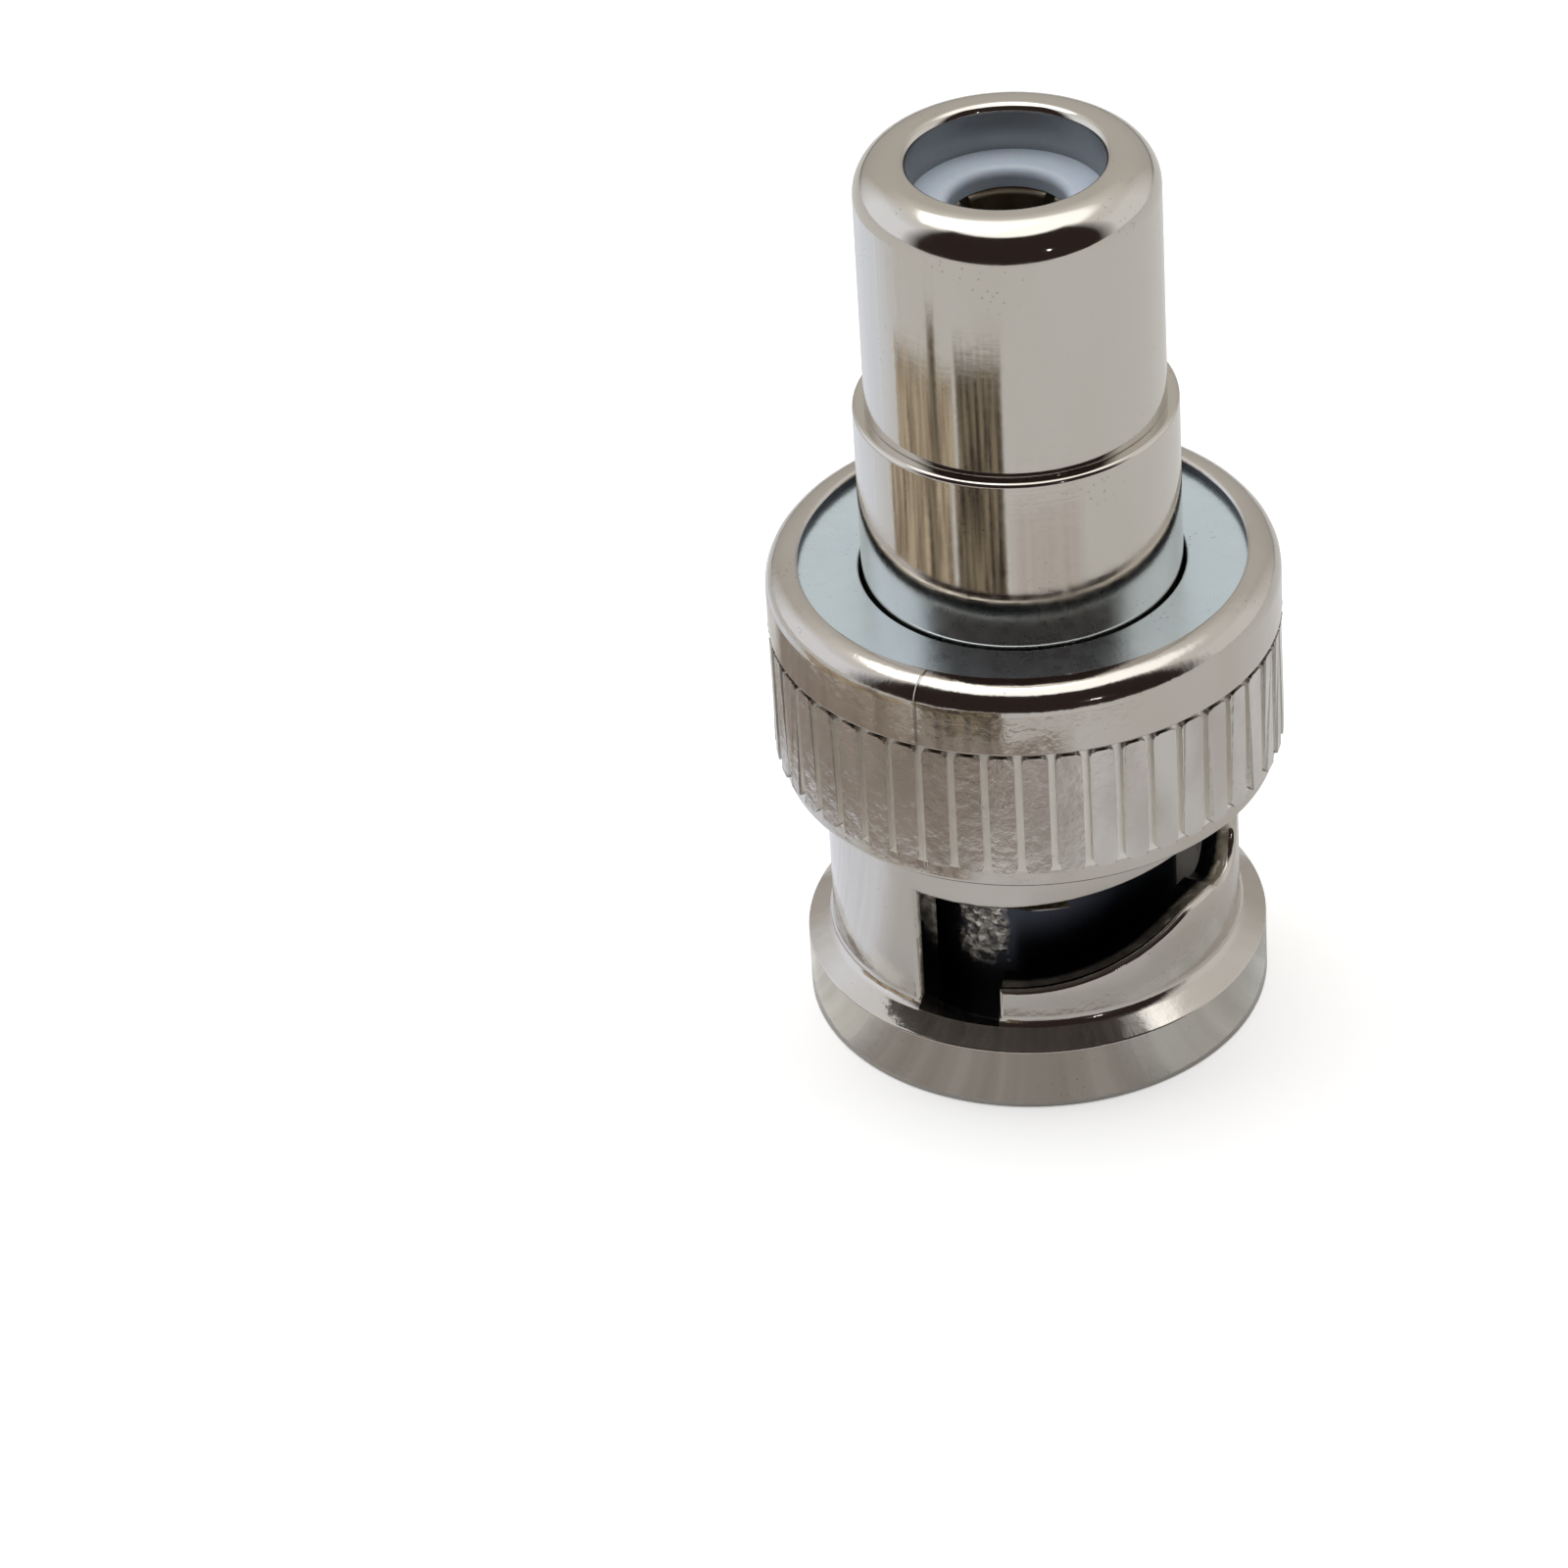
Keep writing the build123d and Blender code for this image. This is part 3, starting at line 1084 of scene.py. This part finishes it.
    def crown_rib(self, piece: bpy.types.Object) -> None:
        """Let a rib's top fall away from its flat middle towards its sides.

        Args:
            piece: The rib, in edit mode.
        """
        half = self.rib_width / 2
        flat = (half - self.rib_corner) / 2
        bpy.ops.mesh.select_mode(type="VERT")
        for reach in sorted({round(abs(vertex.co.x) / MM, 2) for vertex in piece.data.vertices}):
            if reach < flat + CLEAR:
                continue
            bpy.ops.mesh.select_all(action="DESELECT")
            bpy.ops.object.mode_set(mode="OBJECT")
            for vertex in piece.data.vertices:
                beside = abs(abs(vertex.co.x) / MM - reach) < 0.01
                vertex.select = beside and vertex.co.y < -(self.rib_top - self.rib_crown * 1.1) * MM
            bpy.ops.object.mode_set(mode="EDIT")
            fall = self.rib_crown * (reach - flat) / (half - flat)
            bpy.ops.transform.translate(value=(0, fall * MM, 0))

    def select_edges(self, piece: bpy.types.Object, keep: Callable[[Vector], bool]) -> None:
        """Select the edges of a piece in edit mode by their direction.

        Args:
            piece: The object, in edit mode.
            keep: Test of an edge's unit direction.
        """
        bpy.ops.mesh.select_mode(type="EDGE")
        bpy.ops.mesh.select_all(action="DESELECT")
        bpy.ops.object.mode_set(mode="OBJECT")
        for edge in piece.data.edges:
            first, second = (piece.data.vertices[index].co for index in edge.vertices)
            edge.select = keep((second - first).normalized())
        bpy.ops.object.mode_set(mode="EDIT")

    def sleeve(self) -> None:
        """Build the sleeve and dress it."""
        sleeve = self.blank()
        for angle in (0, 180):
            for cutter in (self.channel_cutter(), self.window_cutter()):
                tool = turned_copy(cutter, angle)
                bpy.data.objects.remove(cutter)
                cut(sleeve, tool)
        smooth_evenly(sleeve)
        sleeve.data.materials.clear()
        sleeve.data.materials.append(self.palette.material(CAST_SMOOTH))
        rib = self.rib()
        rib.data.materials.append(self.palette.material(CAST_ROUGH))
        pitch = 360 / self.rib_count
        first = self.first_groove + pitch / 2
        ribs = [turned_copy(rib, first + index * pitch) for index in range(self.rib_count)]
        bpy.data.objects.remove(rib)
        sleeve = join([sleeve, *ribs])
        self.palette.dress(sleeve, CAST_SMOOTH, Body.COUPLING, "coupling_sleeve", keep_slots=True)
        self.palette.line(sleeve, CAST_GROOVE_PAINTED_SHEEN, self.between_ribs)
        self.palette.line(sleeve, LIP_WALL_PAINTED_SHADE, self.lip_wall)
        self.palette.line(sleeve, SLOT_WALL, self.slot_wall)

    def lip_wall(self, middle: Vector, normal: Vector) -> bool:
        """Whether a face is the lip's inner wall, painted in shade beside the washer."""
        beside = abs(middle.xy.length - self.lip_inner) < 0.03
        return beside and middle.z > self.washer_top - 0.01 and abs(normal.z) < 0.3

    def slot_wall(self, middle: Vector, normal: Vector) -> bool:
        """Whether a face is a slot's wall between its rounded edge and the bore."""
        inside = self.bore + 0.05 < middle.xy.length < self.neck - self.edge_round + 0.05
        return inside and self.entry_low - 0.1 < middle.z < self.crest_roof + 0.4

    def between_ribs(self, middle: Vector, normal: Vector) -> bool:
        """Whether a face is a groove's floor."""
        on_floor = abs(middle.xy.length - self.rib_floor) < self.rib_gap / 2
        return on_floor and self.rib_start < middle.z < self.rib_end and abs(normal.z) < 0.3

    def washer(self) -> None:
        """Build the retaining washer and dress it."""
        corners: list[Corner] = [
            (self.washer_inner, self.washer_bottom, 0.04),
            (self.washer_outer, self.washer_bottom, 0.06),
            (self.washer_outer, self.washer_top, 0.08),
            (self.washer_inner, self.washer_top, 0.06),
        ]
        piece = lathe("retaining_washer_zinc", corners)
        self.palette.dress(piece, ZINC, Body.COUPLING, "retaining_washer")

    def build(self) -> None:
        """Build both pieces."""
        self.sleeve()
        self.washer()


@dataclass
class SpringStack(Assembly):
    """Wave spring and thrust washer inside the sleeve's chamber."""

    inner: float = 5.3
    outer: float = 6.3
    thrust_inner: float = 5.12
    thrust_bottom: float = 11.5
    thrust_top: float = 11.9
    spring_bottom: float = 11.92
    spring_top: float = 13.68
    strip: float = 0.3
    waves: int = 3
    steps: int = 96
    travel: float = 1.2
    travel_joint: str = "coupling_slide"

    def thrust_washer(self) -> None:
        """Build the thrust washer and dress it."""
        corners: list[Corner] = [
            (self.thrust_inner, self.thrust_bottom, 0.05),
            (self.outer, self.thrust_bottom, 0.05),
            (self.outer, self.thrust_top, 0.05),
            (self.thrust_inner, self.thrust_top, 0.05),
        ]
        piece = lathe("thrust_washer_steel", corners, steps=120, segments=3)
        self.palette.dress(piece, SPRING_STEEL, Body.SPRING, "thrust_washer")

    def wave_spring(self) -> None:
        """Sweep the spring's strip section round the axis over its waves, and dress it."""
        middle = (self.spring_bottom + self.spring_top) / 2
        swing = (self.spring_top - self.spring_bottom - self.strip) / 2
        low = middle + swing - self.strip / 2
        high = low + self.strip
        edge = 0.05
        section = [
            (self.inner + edge, 0.0, low),
            (self.outer - edge, 0.0, low),
            (self.outer, 0.0, low + edge),
            (self.outer, 0.0, high - edge),
            (self.outer - edge, 0.0, high),
            (self.inner + edge, 0.0, high),
            (self.inner, 0.0, high - edge),
            (self.inner, 0.0, low + edge),
            (self.inner + edge, 0.0, low),
        ]
        piece = seed("wave_spring_steel", section[0])
        trace(section)
        bpy.ops.mesh.select_all(action="SELECT")
        bpy.ops.mesh.remove_doubles(threshold=MERGE)
        turn = math.tau / self.steps
        for index in range(self.steps):
            before = math.cos(self.waves * turn * index)
            after = math.cos(self.waves * turn * (index + 1))
            rise = swing * (after - before) * MM
            bpy.ops.mesh.extrude_region_move(TRANSFORM_OT_translate={"value": (0, 0, rise)})
            bpy.ops.transform.rotate(value=turn, orient_axis="Z", center_override=(0, 0, 0))
        bpy.ops.mesh.select_all(action="SELECT")
        bpy.ops.mesh.remove_doubles(threshold=3 * MERGE)
        bpy.ops.mesh.normals_make_consistent(inside=False)
        smooth(piece, math.radians(40))
        self.palette.dress(piece, SPRING_STEEL, Body.SPRING, "wave_spring")
        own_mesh(piece)

    def build(self) -> None:
        """Build both pieces."""
        self.thrust_washer()
        self.wave_spring()


@dataclass
class Barrel(Assembly):
    """Turned body and the jack shell pressed into it."""

    flange: float = 6.3
    flange_front: float = 10.7
    flange_back: float = 11.5
    hub: float = 5.0
    hub_top: float = 12.3
    barrel: float = 4.48
    seam: float = 19.6
    seat_bore: float = 3.87
    seat_top: float = 12.2
    inner_bore: float = 3.37
    spigot: float = 3.77
    spigot_bottom: float = 16.2
    shell: float = 4.15
    opening: float = 2.68
    top: float = 27.15
    rim_round: float = 1.0
    opening_round: float = 0.24
    insulator_face: float = 25.8

    def body(self) -> None:
        """Build the body and dress it."""
        corners: list[Corner] = [
            (self.seat_bore, self.flange_front),
            (self.flange, self.flange_front, 0.05),
            (self.flange, self.flange_back, 0.05),
            (self.hub, self.flange_back),
            (self.hub, self.hub_top, 0.05),
            (self.barrel, self.hub_top),
            (self.barrel, self.seam, 0.12),
            (self.spigot + CLEAR, self.seam),
            (self.spigot + CLEAR, self.spigot_bottom - CLEAR),
            (self.inner_bore, self.spigot_bottom - CLEAR),
            (self.inner_bore, self.seat_top),
            (self.seat_bore, self.seat_top),
        ]
        piece = lathe("body_turned", corners, steps=200)
        self.palette.dress(piece, TURNED_NICKEL, Body.MAIN, "body")

    def jack_shell(self) -> None:
        """Build the jack's shell and dress it."""
        corners: list[Corner] = [
            (self.inner_bore, self.spigot_bottom),
            (self.spigot, self.spigot_bottom, 0.05),
            (self.spigot, self.seam),
            (self.shell, self.seam, 0.05),
            (self.shell, self.top, self.rim_round),
            (self.opening, self.top, self.opening_round),
            (self.opening, self.insulator_face),
            (self.inner_bore, self.insulator_face),
        ]
        piece = lathe("jack_shell_turned", corners, steps=220, segments=12)
        self.palette.dress(piece, TURNED_NICKEL, Body.MAIN, "jack_shell")
        # Painted shade on the opening's wall.
        self.palette.line(piece, BORE_PAINTED_SHADE, self.opening_wall)

    def opening_wall(self, middle: Vector, normal: Vector) -> bool:
        """Whether a face is the wall of the jack's opening."""
        return middle.xy.length < self.opening + CLEAR and abs(normal.z) < 0.3

    def build(self) -> None:
        """Build both pieces."""
        self.body()
        self.jack_shell()


@dataclass
class PlugFront(Assembly):
    """Outer contact, gasket and insulator in the plug's mouth."""

    contact: float = 4.05
    contact_inner: float = 3.65
    contact_front: float = 1.0
    contact_back: float = 12.2
    seat: float = 3.85
    gasket_front: float = 9.3
    gasket_outer: float = 4.78
    flange_front: float = 10.7
    insulator_front: float = 1.06
    insulator_outer: float = 3.63
    cup: float = 2.6
    cup_floor: float = 6.56
    shank_bore: float = 0.92
    tail_bore: float = 1.12
    collar_front: float = 8.06

    def contact_ring(self) -> None:
        """Build the outer contact and dress it."""
        corners: list[Corner] = [
            (self.contact_inner, self.contact_front, 0.12),
            (self.contact, self.contact_front, 0.12),
            (self.contact, self.gasket_front, 0.05),
            (self.seat, self.gasket_front),
            (self.seat, self.contact_back, 0.05),
            (self.contact_inner, self.contact_back),
        ]
        piece = lathe("outer_contact_turned", corners)
        self.palette.dress(piece, TURNED_NICKEL, Body.MAIN, "outer_contact")
        # Painted shade on the outer wall, where the slots show it.
        self.palette.line(piece, CONTACT_PAINTED_SHADE, self.outer_wall)

    def outer_wall(self, middle: Vector, normal: Vector) -> bool:
        """Whether a face is the contact's outer wall, painted in shade where the slots show it."""
        return middle.xy.length > self.contact - CLEAR and abs(normal.z) < 0.3

    def gasket(self) -> None:
        """Build the gasket and dress it."""
        corners: list[Corner] = [
            (self.seat + CLEAR, self.gasket_front + CLEAR, 0.12),
            (self.gasket_outer, self.gasket_front + CLEAR, 0.18),
            (self.gasket_outer, self.flange_front, 0.03),
            (self.seat + CLEAR, self.flange_front),
        ]
        piece = lathe("gasket_rubber", corners, steps=120)
        self.palette.dress(piece, RED_RUBBER, Body.MAIN, "gasket")

    def insulator(self) -> None:
        """Build the plug's insulator and dress it."""
        corners: list[Corner] = [
            (self.cup, self.insulator_front, 0.15),
            (self.insulator_outer, self.insulator_front, 0.15),
            (self.insulator_outer, self.contact_back),
            (self.tail_bore, self.contact_back),
            (self.tail_bore, self.collar_front),
            (self.shank_bore, self.collar_front),
            (self.shank_bore, self.cup_floor),
            (self.cup, self.cup_floor, 0.1),
        ]
        piece = lathe("plug_insulator_cup", corners)
        self.palette.dress(piece, WHITE_PLASTIC, Body.MAIN, "plug_insulator")

    def build(self) -> None:
        """Build the three pieces."""
        self.contact_ring()
        self.gasket()
        self.insulator()


@dataclass
class CentreLine(Assembly):
    """Pin, split socket and the jack's insulator on the axis."""

    pin: float = 0.675
    pin_tip: float = 1.41
    cone_end: float = 2.71
    shank: float = 0.9
    shank_front: float = 6.56
    collar_front: float = 8.06
    collar_back: float = 9.06
    tail: float = 1.1
    stem: float = 0.45
    stem_end: float = 11.16
    bush_back: float = 12.2
    bush_outer: float = 3.35
    bush_face: float = 25.8
    web_hole: float = 1.62
    web_back: float = 25.24
    socket_bore: float = 1.6
    socket_outer: float = 2.02
    socket_bottom: float = 12.62
    socket_floor: float = 13.0
    socket_top: float = 25.22
    slit_width: float = 0.35
    slit_length: float = 7.0
    slit_count: int = 4
    slit_inner: float = 1.31
    slit_outer: float = 3.33
    slit_top: float = 25.62

    def centre_pin(self) -> None:
        """Build the pin and dress it."""
        corners: list[Corner] = [
            (0.0, self.pin_tip),
            (0.06, self.pin_tip, 0.03),
            (self.pin, self.cone_end, 0.4),
            (self.pin, self.shank_front),
            (self.shank, self.shank_front, 0.04),
            (self.shank, self.collar_front),
            (self.tail, self.collar_front, 0.04),
            (self.tail, self.collar_back, 0.04),
            (self.stem, self.collar_back),
            (self.stem, self.stem_end, 0.08),
            (0.0, self.stem_end),
        ]
        piece = lathe("centre_pin_gold", corners, steps=64, whole=False)
        self.palette.dress(piece, GOLD, Body.MAIN, "centre_pin")

    def socket(self) -> None:
        """Build the split socket and dress it."""
        corners: list[Corner] = [
            (0.0, self.stem_end + CLEAR),
            (self.stem + CLEAR, self.stem_end + CLEAR),
            (self.stem + CLEAR, self.collar_back + CLEAR),
            (self.tail, self.collar_back + CLEAR, 0.04),
            (self.tail, self.socket_bottom),
            (self.socket_outer, self.socket_bottom, 0.05),
            (self.socket_outer, self.socket_top, 0.2),
            (self.socket_bore, self.socket_top, 0.2),
            (self.socket_bore, self.socket_floor),
            (0.0, self.socket_floor),
        ]
        piece = lathe("socket_contact_split", corners, steps=96, whole=False)
        for index in range(self.slit_count):
            cut(piece, self.slit_cutter(45 + 360 * index / self.slit_count))
        smooth_evenly(piece)
        self.palette.dress(piece, BRASS, Body.MAIN, "socket_contact")

    def slit_cutter(self, angle: float) -> bpy.types.Object:
        """Cutter of one slit in the socket's wall.

        Args:
            angle: Degrees from the front.

        Returns:
            The cutter.
        """
        depth = (-self.slit_outer, -self.slit_inner)
        height = (self.socket_top - self.slit_length, self.slit_top)
        cutter = block("slit_cutter", self.slit_width, depth, height)
        turned = turned_copy(cutter, angle)
        bpy.data.objects.remove(cutter)
        return turned

    def bush(self) -> None:
        """Build the jack's insulator and dress it."""
        corners: list[Corner] = [
            (self.tail + CLEAR, self.bush_back),
            (self.bush_outer, self.bush_back, 0.1),
            (self.bush_outer, self.bush_face, 0.05),
            (self.web_hole, self.bush_face, 0.25),
            (self.web_hole, self.web_back),
            (self.socket_outer + CLEAR, self.web_back),
            (self.socket_outer + CLEAR, self.socket_bottom - CLEAR),
            (self.tail + CLEAR, self.socket_bottom - CLEAR),
        ]
        piece = lathe("jack_insulator_bush", corners, steps=128)
        self.palette.dress(piece, WHITE_PLASTIC, Body.MAIN, "jack_insulator")

    def build(self) -> None:
        """Build the three pieces."""
        self.centre_pin()
        self.socket()
        self.bush()


# Studio


@dataclass(frozen=True)
class PaintedReflectionCard:
    """A glowing card that only the metal mirrors: a painted reflection, streaked and with ragged
    ends.
    """

    name: str
    start: float
    end: float
    first: Corner
    second: Corner
    dark: Colour
    light: Colour
    top: float = 99.0
    soft: float = 5.0
    ragged: float = 1.0
    streaks: float = 0.35
    only_below: bool = False

    def material(self) -> bpy.types.Material:
        """Build the card's glow, a painted reflection streaked along the angle.

        Returns:
            The material.
        """
        plain = {"Base Color": (0, 0, 0, 1), "Roughness": 1.0, "Emission Strength": 1.0}
        material, wiring, shader = new_material(self.name, plain)
        across, along, height = wiring.split(wiring.place())
        angle = wiring.math("DEGREES", wiring.turn(across, along))
        rise = wiring.math("DIVIDE", height, MM)
        where = wiring.vector(wiring.times(angle, self.streaks), 0.0, wiring.times(rise, 0.25))
        noise = wiring.noise(where, 1.0, detail=5.0)
        streak = wiring.span(noise, 0.38, 0.62)
        glow = wiring.mix(streak, (*self.dark, 1), (*self.light, 1))
        margins = wiring.minus(angle, self.start), wiring.minus(self.end, angle)
        ends = wiring.math("DIVIDE", wiring.math("MINIMUM", *margins), self.soft)
        edge = wiring.math("MINIMUM", ends, wiring.minus(self.top, rise))
        rough = wiring.times(wiring.minus(noise, 0.5), self.ragged)
        alpha = wiring.span(wiring.plus(edge, rough), 0.0, 1.0)
        if self.only_below:
            behind = wiring.add("ShaderNodeNewGeometry").outputs["Backfacing"]
            alpha = wiring.times(alpha, wiring.minus(1.0, behind))
        wiring.fill(shader, {"Emission Color": glow, "Alpha": alpha})
        return material

    def build(self) -> None:
        """Lay the card along its arc and hide it from everything but reflections."""
        count = 2 + int((self.end - self.start) / 6)
        turns = [self.start + (self.end - self.start) * index / count for index in range(count + 1)]
        card = ribbon(
            self.name,
            [place_on(turn, *self.first) for turn in turns],
            [place_on(turn, *self.second) for turn in turns],
        )
        bpy.ops.object.mode_set(mode="OBJECT")
        if self.only_below and card.data.polygons[0].normal.z > 0:
            card.data.flip_normals()
        card.data.materials.clear()
        card.data.materials.append(self.material())
        for ray in ("camera", "diffuse", "shadow", "transmission"):
            setattr(card, f"visible_{ray}", False)


# Painted reflections: glowing cards that only the metal mirrors. Upright tan and dark ones paint
# streaks in the ribs and barrel; flat ones on the floor paint brown, tinted and cool reflections.
PAINTED_REFLECTION_CARDS = (
    PaintedReflectionCard(
        "painted_reflection_tan", -95, -44, (26, 0.2), (26, 16), (0.22, 0.17, 0.12), (0.60, 0.51, 0.38),
        top=9.4, soft=2.0, ragged=2.0,
    ),
    PaintedReflectionCard(
        "painted_reflection_narrow", -63, -56, (25.6, 0.2), (25.6, 16), (0.08, 0.065, 0.05), (0.30, 0.25, 0.18),
        top=11.4, soft=1.5, ragged=1.5,
    ),
    PaintedReflectionCard(
        "painted_reflection_dark", -43, -9, (25.6, 0.2), (25.6, 16), (0.04, 0.03, 0.025), (0.28, 0.23, 0.16),
        top=10.4, soft=2.0, ragged=2.0,
    ),
    PaintedReflectionCard(
        "painted_reflection_floor_brown", -134, 19, (19.1, 0.25), (25.4, 0.25),
        (0.20, 0.165, 0.14), (0.42, 0.36, 0.31), soft=10.0,
    ),
    PaintedReflectionCard(
        "painted_reflection_floor_ledge", -134, -20, (17, 0.25), (19.1, 0.25),
        (0.20, 0.165, 0.14), (0.42, 0.36, 0.31), soft=10.0,
    ),
    PaintedReflectionCard(
        "painted_reflection_floor_tint", -10, 45, (27, 0.25), (33, 0.25),
        (0.55, 0.50, 0.48), (0.63, 0.59, 0.57), soft=10.0,
    ),
    # Painted reflections at the rim's foot: lighter at the sides, and painted shade in front for
    # the shade on the floor beside it.
    PaintedReflectionCard(
        "painted_reflection_rim_left", -110, -50, (6.75, 0.08), (9.4, 0.08),
        (0.60, 0.60, 0.57), (0.76, 0.76, 0.72), soft=12.0, streaks=0.1,
    ),
    PaintedReflectionCard(
        "painted_shade_rim_front", -60, 34, (6.75, 0.08), (9.4, 0.08),
        (0.29, 0.275, 0.255), (0.385, 0.36, 0.34), soft=12.0, streaks=0.1,
    ),
    PaintedReflectionCard(
        "painted_reflection_rim_right", 28, 95, (6.75, 0.08), (9.4, 0.08),
        (0.48, 0.49, 0.47), (0.58, 0.59, 0.57), soft=12.0, streaks=0.1,
    ),
    PaintedReflectionCard(
        "painted_reflection_floor_cool", -150, -66, (8.5, 0.25), (16.5, 0.25),
        (0.76, 0.78, 0.84), (0.87, 0.90, 0.97), soft=14.0,
    ),
    PaintedReflectionCard(
        "painted_reflection_floor_far", -175, -88, (28, 0.25), (48, 0.25),
        (0.78, 0.825, 0.92), (0.88, 0.93, 1.02), soft=32.0,
    ),
    # Painted shade: a near-black streaked sheet under the ribbed ring that the flare mirrors from
    # below.
    PaintedReflectionCard(
        "painted_shade_over_flare", -80, 48, (5.95, 7.5), (9.2, 7.5),
        (0.012, 0.012, 0.014), (0.10, 0.085, 0.07),
        soft=12.0, ragged=5.0, streaks=1.1, only_below=True,
    ),
)


@dataclass
class Studio:
    """Floor, surroundings, cards of painted reflection and painted shade, lamps and camera."""

    floor_side: float = 400.0
    floor_front: float = 75.0
    mouth: float = 5.65
    eye: Point = (0.0, -148.648, 113.208)
    yaw: float = -2.71325
    pitch: float = 35.54067
    roll: float = -3.97384
    focal_pixels: float = 6551.65
    frame_pixels: float = 1600.0
    sensor: float = 36.0

    def floor(self) -> None:
        """Lay the pale floor, white to the camera except inside the mouth, with its shadow."""
        clear_selection()
        depth = self.floor_side + self.floor_front
        middle = (0, (self.floor_side - self.floor_front) / 2 * MM, 0)
        bpy.ops.mesh.primitive_plane_add(size=1, location=middle)
        floor = bpy.context.object
        floor.scale = (2 * self.floor_side * MM, depth * MM, 1)
        floor.name = "floor"
        bpy.ops.object.transform_apply(location=True, rotation=True, scale=True)
        plain = {
            "Base Color": (0.82, 0.82, 0.82, 1),
            "Roughness": 0.9,
            "Specular IOR Level": 0.1,
            "Emission Color": (1, 1, 1, 1),
        }
        material, wiring, shader = new_material("floor_white", plain)
        seen = wiring.times(wiring.add("ShaderNodeLightPath").outputs["Is Camera Ray"], 0.5)
        reach = wiring.reach(*wiring.split(wiring.place())[:2])
        open_floor = wiring.math("GREATER_THAN", reach, self.mouth * MM)
        wiring.fill(shader, {"Emission Strength": wiring.times(seen, open_floor)})
        floor.data.materials.append(material)

    def surroundings(self) -> None:
        """Soft light from above and the sides, with a dim brown room on the camera's side."""
        world = bpy.data.worlds.new("studio")
        bpy.context.scene.world = world
        world.use_nodes = True
        wiring = Wiring(world.node_tree)
        across, along, height = wiring.split(wiring.place("Generated"))
        level = wiring.reach(across, along)
        ramp_node = wiring.add("ShaderNodeValToRGB", [wiring.span(height, -1, 1)])
        ramp = ramp_node.color_ramp
        ramp.elements[0].position = 0.49
        ramp.elements[0].color = (0.26, 0.25, 0.23, 1)
        ramp.elements[1].position = 0.97
        ramp.elements[1].color = (1.7, 1.7, 1.66, 1)
        for place, colour in (
            (0.52, (0.50, 0.48, 0.45, 1)),
            (0.80, (0.62, 0.60, 0.555, 1)),
            (0.90, (0.85, 0.83, 0.79, 1)),
            (0.93, (1.6, 1.6, 1.56, 1)),
        ):
            ramp.elements.new(place).color = colour
        side = wiring.math("DIVIDE", across, level)
        low = wiring.span(height, 0.55, 0.85, start=1.0, end=0.0)
        left = wiring.times(wiring.span(side, -0.55, -0.85), low)
        right = wiring.times(wiring.span(side, 0.6, 0.9), low)
        studio = wiring.mix(left, ramp_node.outputs[0], (1.0, 1.03, 1.1, 1))
        studio = wiring.mix(right, studio, (0.86, 0.85, 0.84, 1))
        front = wiring.span(wiring.math("DIVIDE", along, level), -0.12, -0.4)
        under_lamps = wiring.span(height, 0.88, 0.92, start=1.0, end=0.0)
        studio = wiring.mix(wiring.times(front, under_lamps), studio, (0.035, 0.024, 0.022, 1))
        seen = wiring.add("ShaderNodeLightPath").outputs["Is Camera Ray"]
        sky = wiring.mix(seen, studio, (1, 1, 1, 1))
        wiring.fill(world.node_tree.nodes["Background"], {"Color": sky})

    def cards(self) -> None:
        """Put up every card of painted reflection and painted shade."""
        for card in PAINTED_REFLECTION_CARDS:
            card.build()

    def lamp(self, name: str, place: Point, size: tuple[float, float], power: float) -> None:
        """Hang a soft lamp that faces the adapter.

        Args:
            name: Name of the lamp.
            place: Its place.
            size: Its width and height.
            power: Its power in watts.
        """
        data = bpy.data.lights.new(name, "AREA")
        data.shape = "RECTANGLE"
        data.size = size[0] * MM
        data.size_y = size[1] * MM
        data.energy = power
        lamp = bpy.data.objects.new(name, data)
        bpy.context.scene.collection.objects.link(lamp)
        lamp.location = Vector(place) * MM
        aim = Vector((0, 0, 14 * MM)) - lamp.location
        lamp.rotation_euler = aim.to_track_quat("-Z", "Y").to_euler()

    def camera(self) -> None:
        """Set the camera where the photograph was taken from."""
        data = bpy.data.cameras.new("camera")
        data.sensor_width = self.sensor
        data.lens = self.sensor * self.focal_pixels / self.frame_pixels
        data.clip_start = MM
        camera = bpy.data.objects.new("camera", data)
        bpy.context.scene.collection.objects.link(camera)
        yaw, pitch, roll = (math.radians(value) for value in (self.yaw, self.pitch, self.roll))
        forwards = Vector((math.sin(yaw), math.cos(yaw), 0))
        ahead = forwards * math.cos(pitch) - Vector((0, 0, math.sin(pitch)))
        level = Vector((math.cos(yaw), -math.sin(yaw), 0))
        upright = level.cross(ahead)
        right = level * math.cos(roll) + upright * math.sin(roll)
        up = upright * math.cos(roll) - level * math.sin(roll)
        turn = Matrix((right, up, -ahead)).transposed()
        camera.matrix_world = Matrix.Translation(Vector(self.eye) * MM) @ turn.to_4x4()
        bpy.context.scene.camera = camera

    def build(self) -> None:
        """Build the whole studio."""
        self.floor()
        self.surroundings()
        self.cards()
        self.lamp("softbox_above", (-60, 40, 260), (160, 160), 0.08)
        self.lamp("ring_light", (135, -254, 85), (9, 9), 0.004)
        self.camera()
        bpy.context.scene.view_settings.view_transform = "Standard"


def main() -> None:
    """Build the adapter and its studio, piece by piece."""
    palette = Palette(Effects())
    for assembly in (Coupling, SpringStack, Barrel, PlugFront, CentreLine):
        assembly(palette).build()
        log.info("%s is done", assembly.__name__)
    Studio().build()


if __name__ == "__main__":
    main()
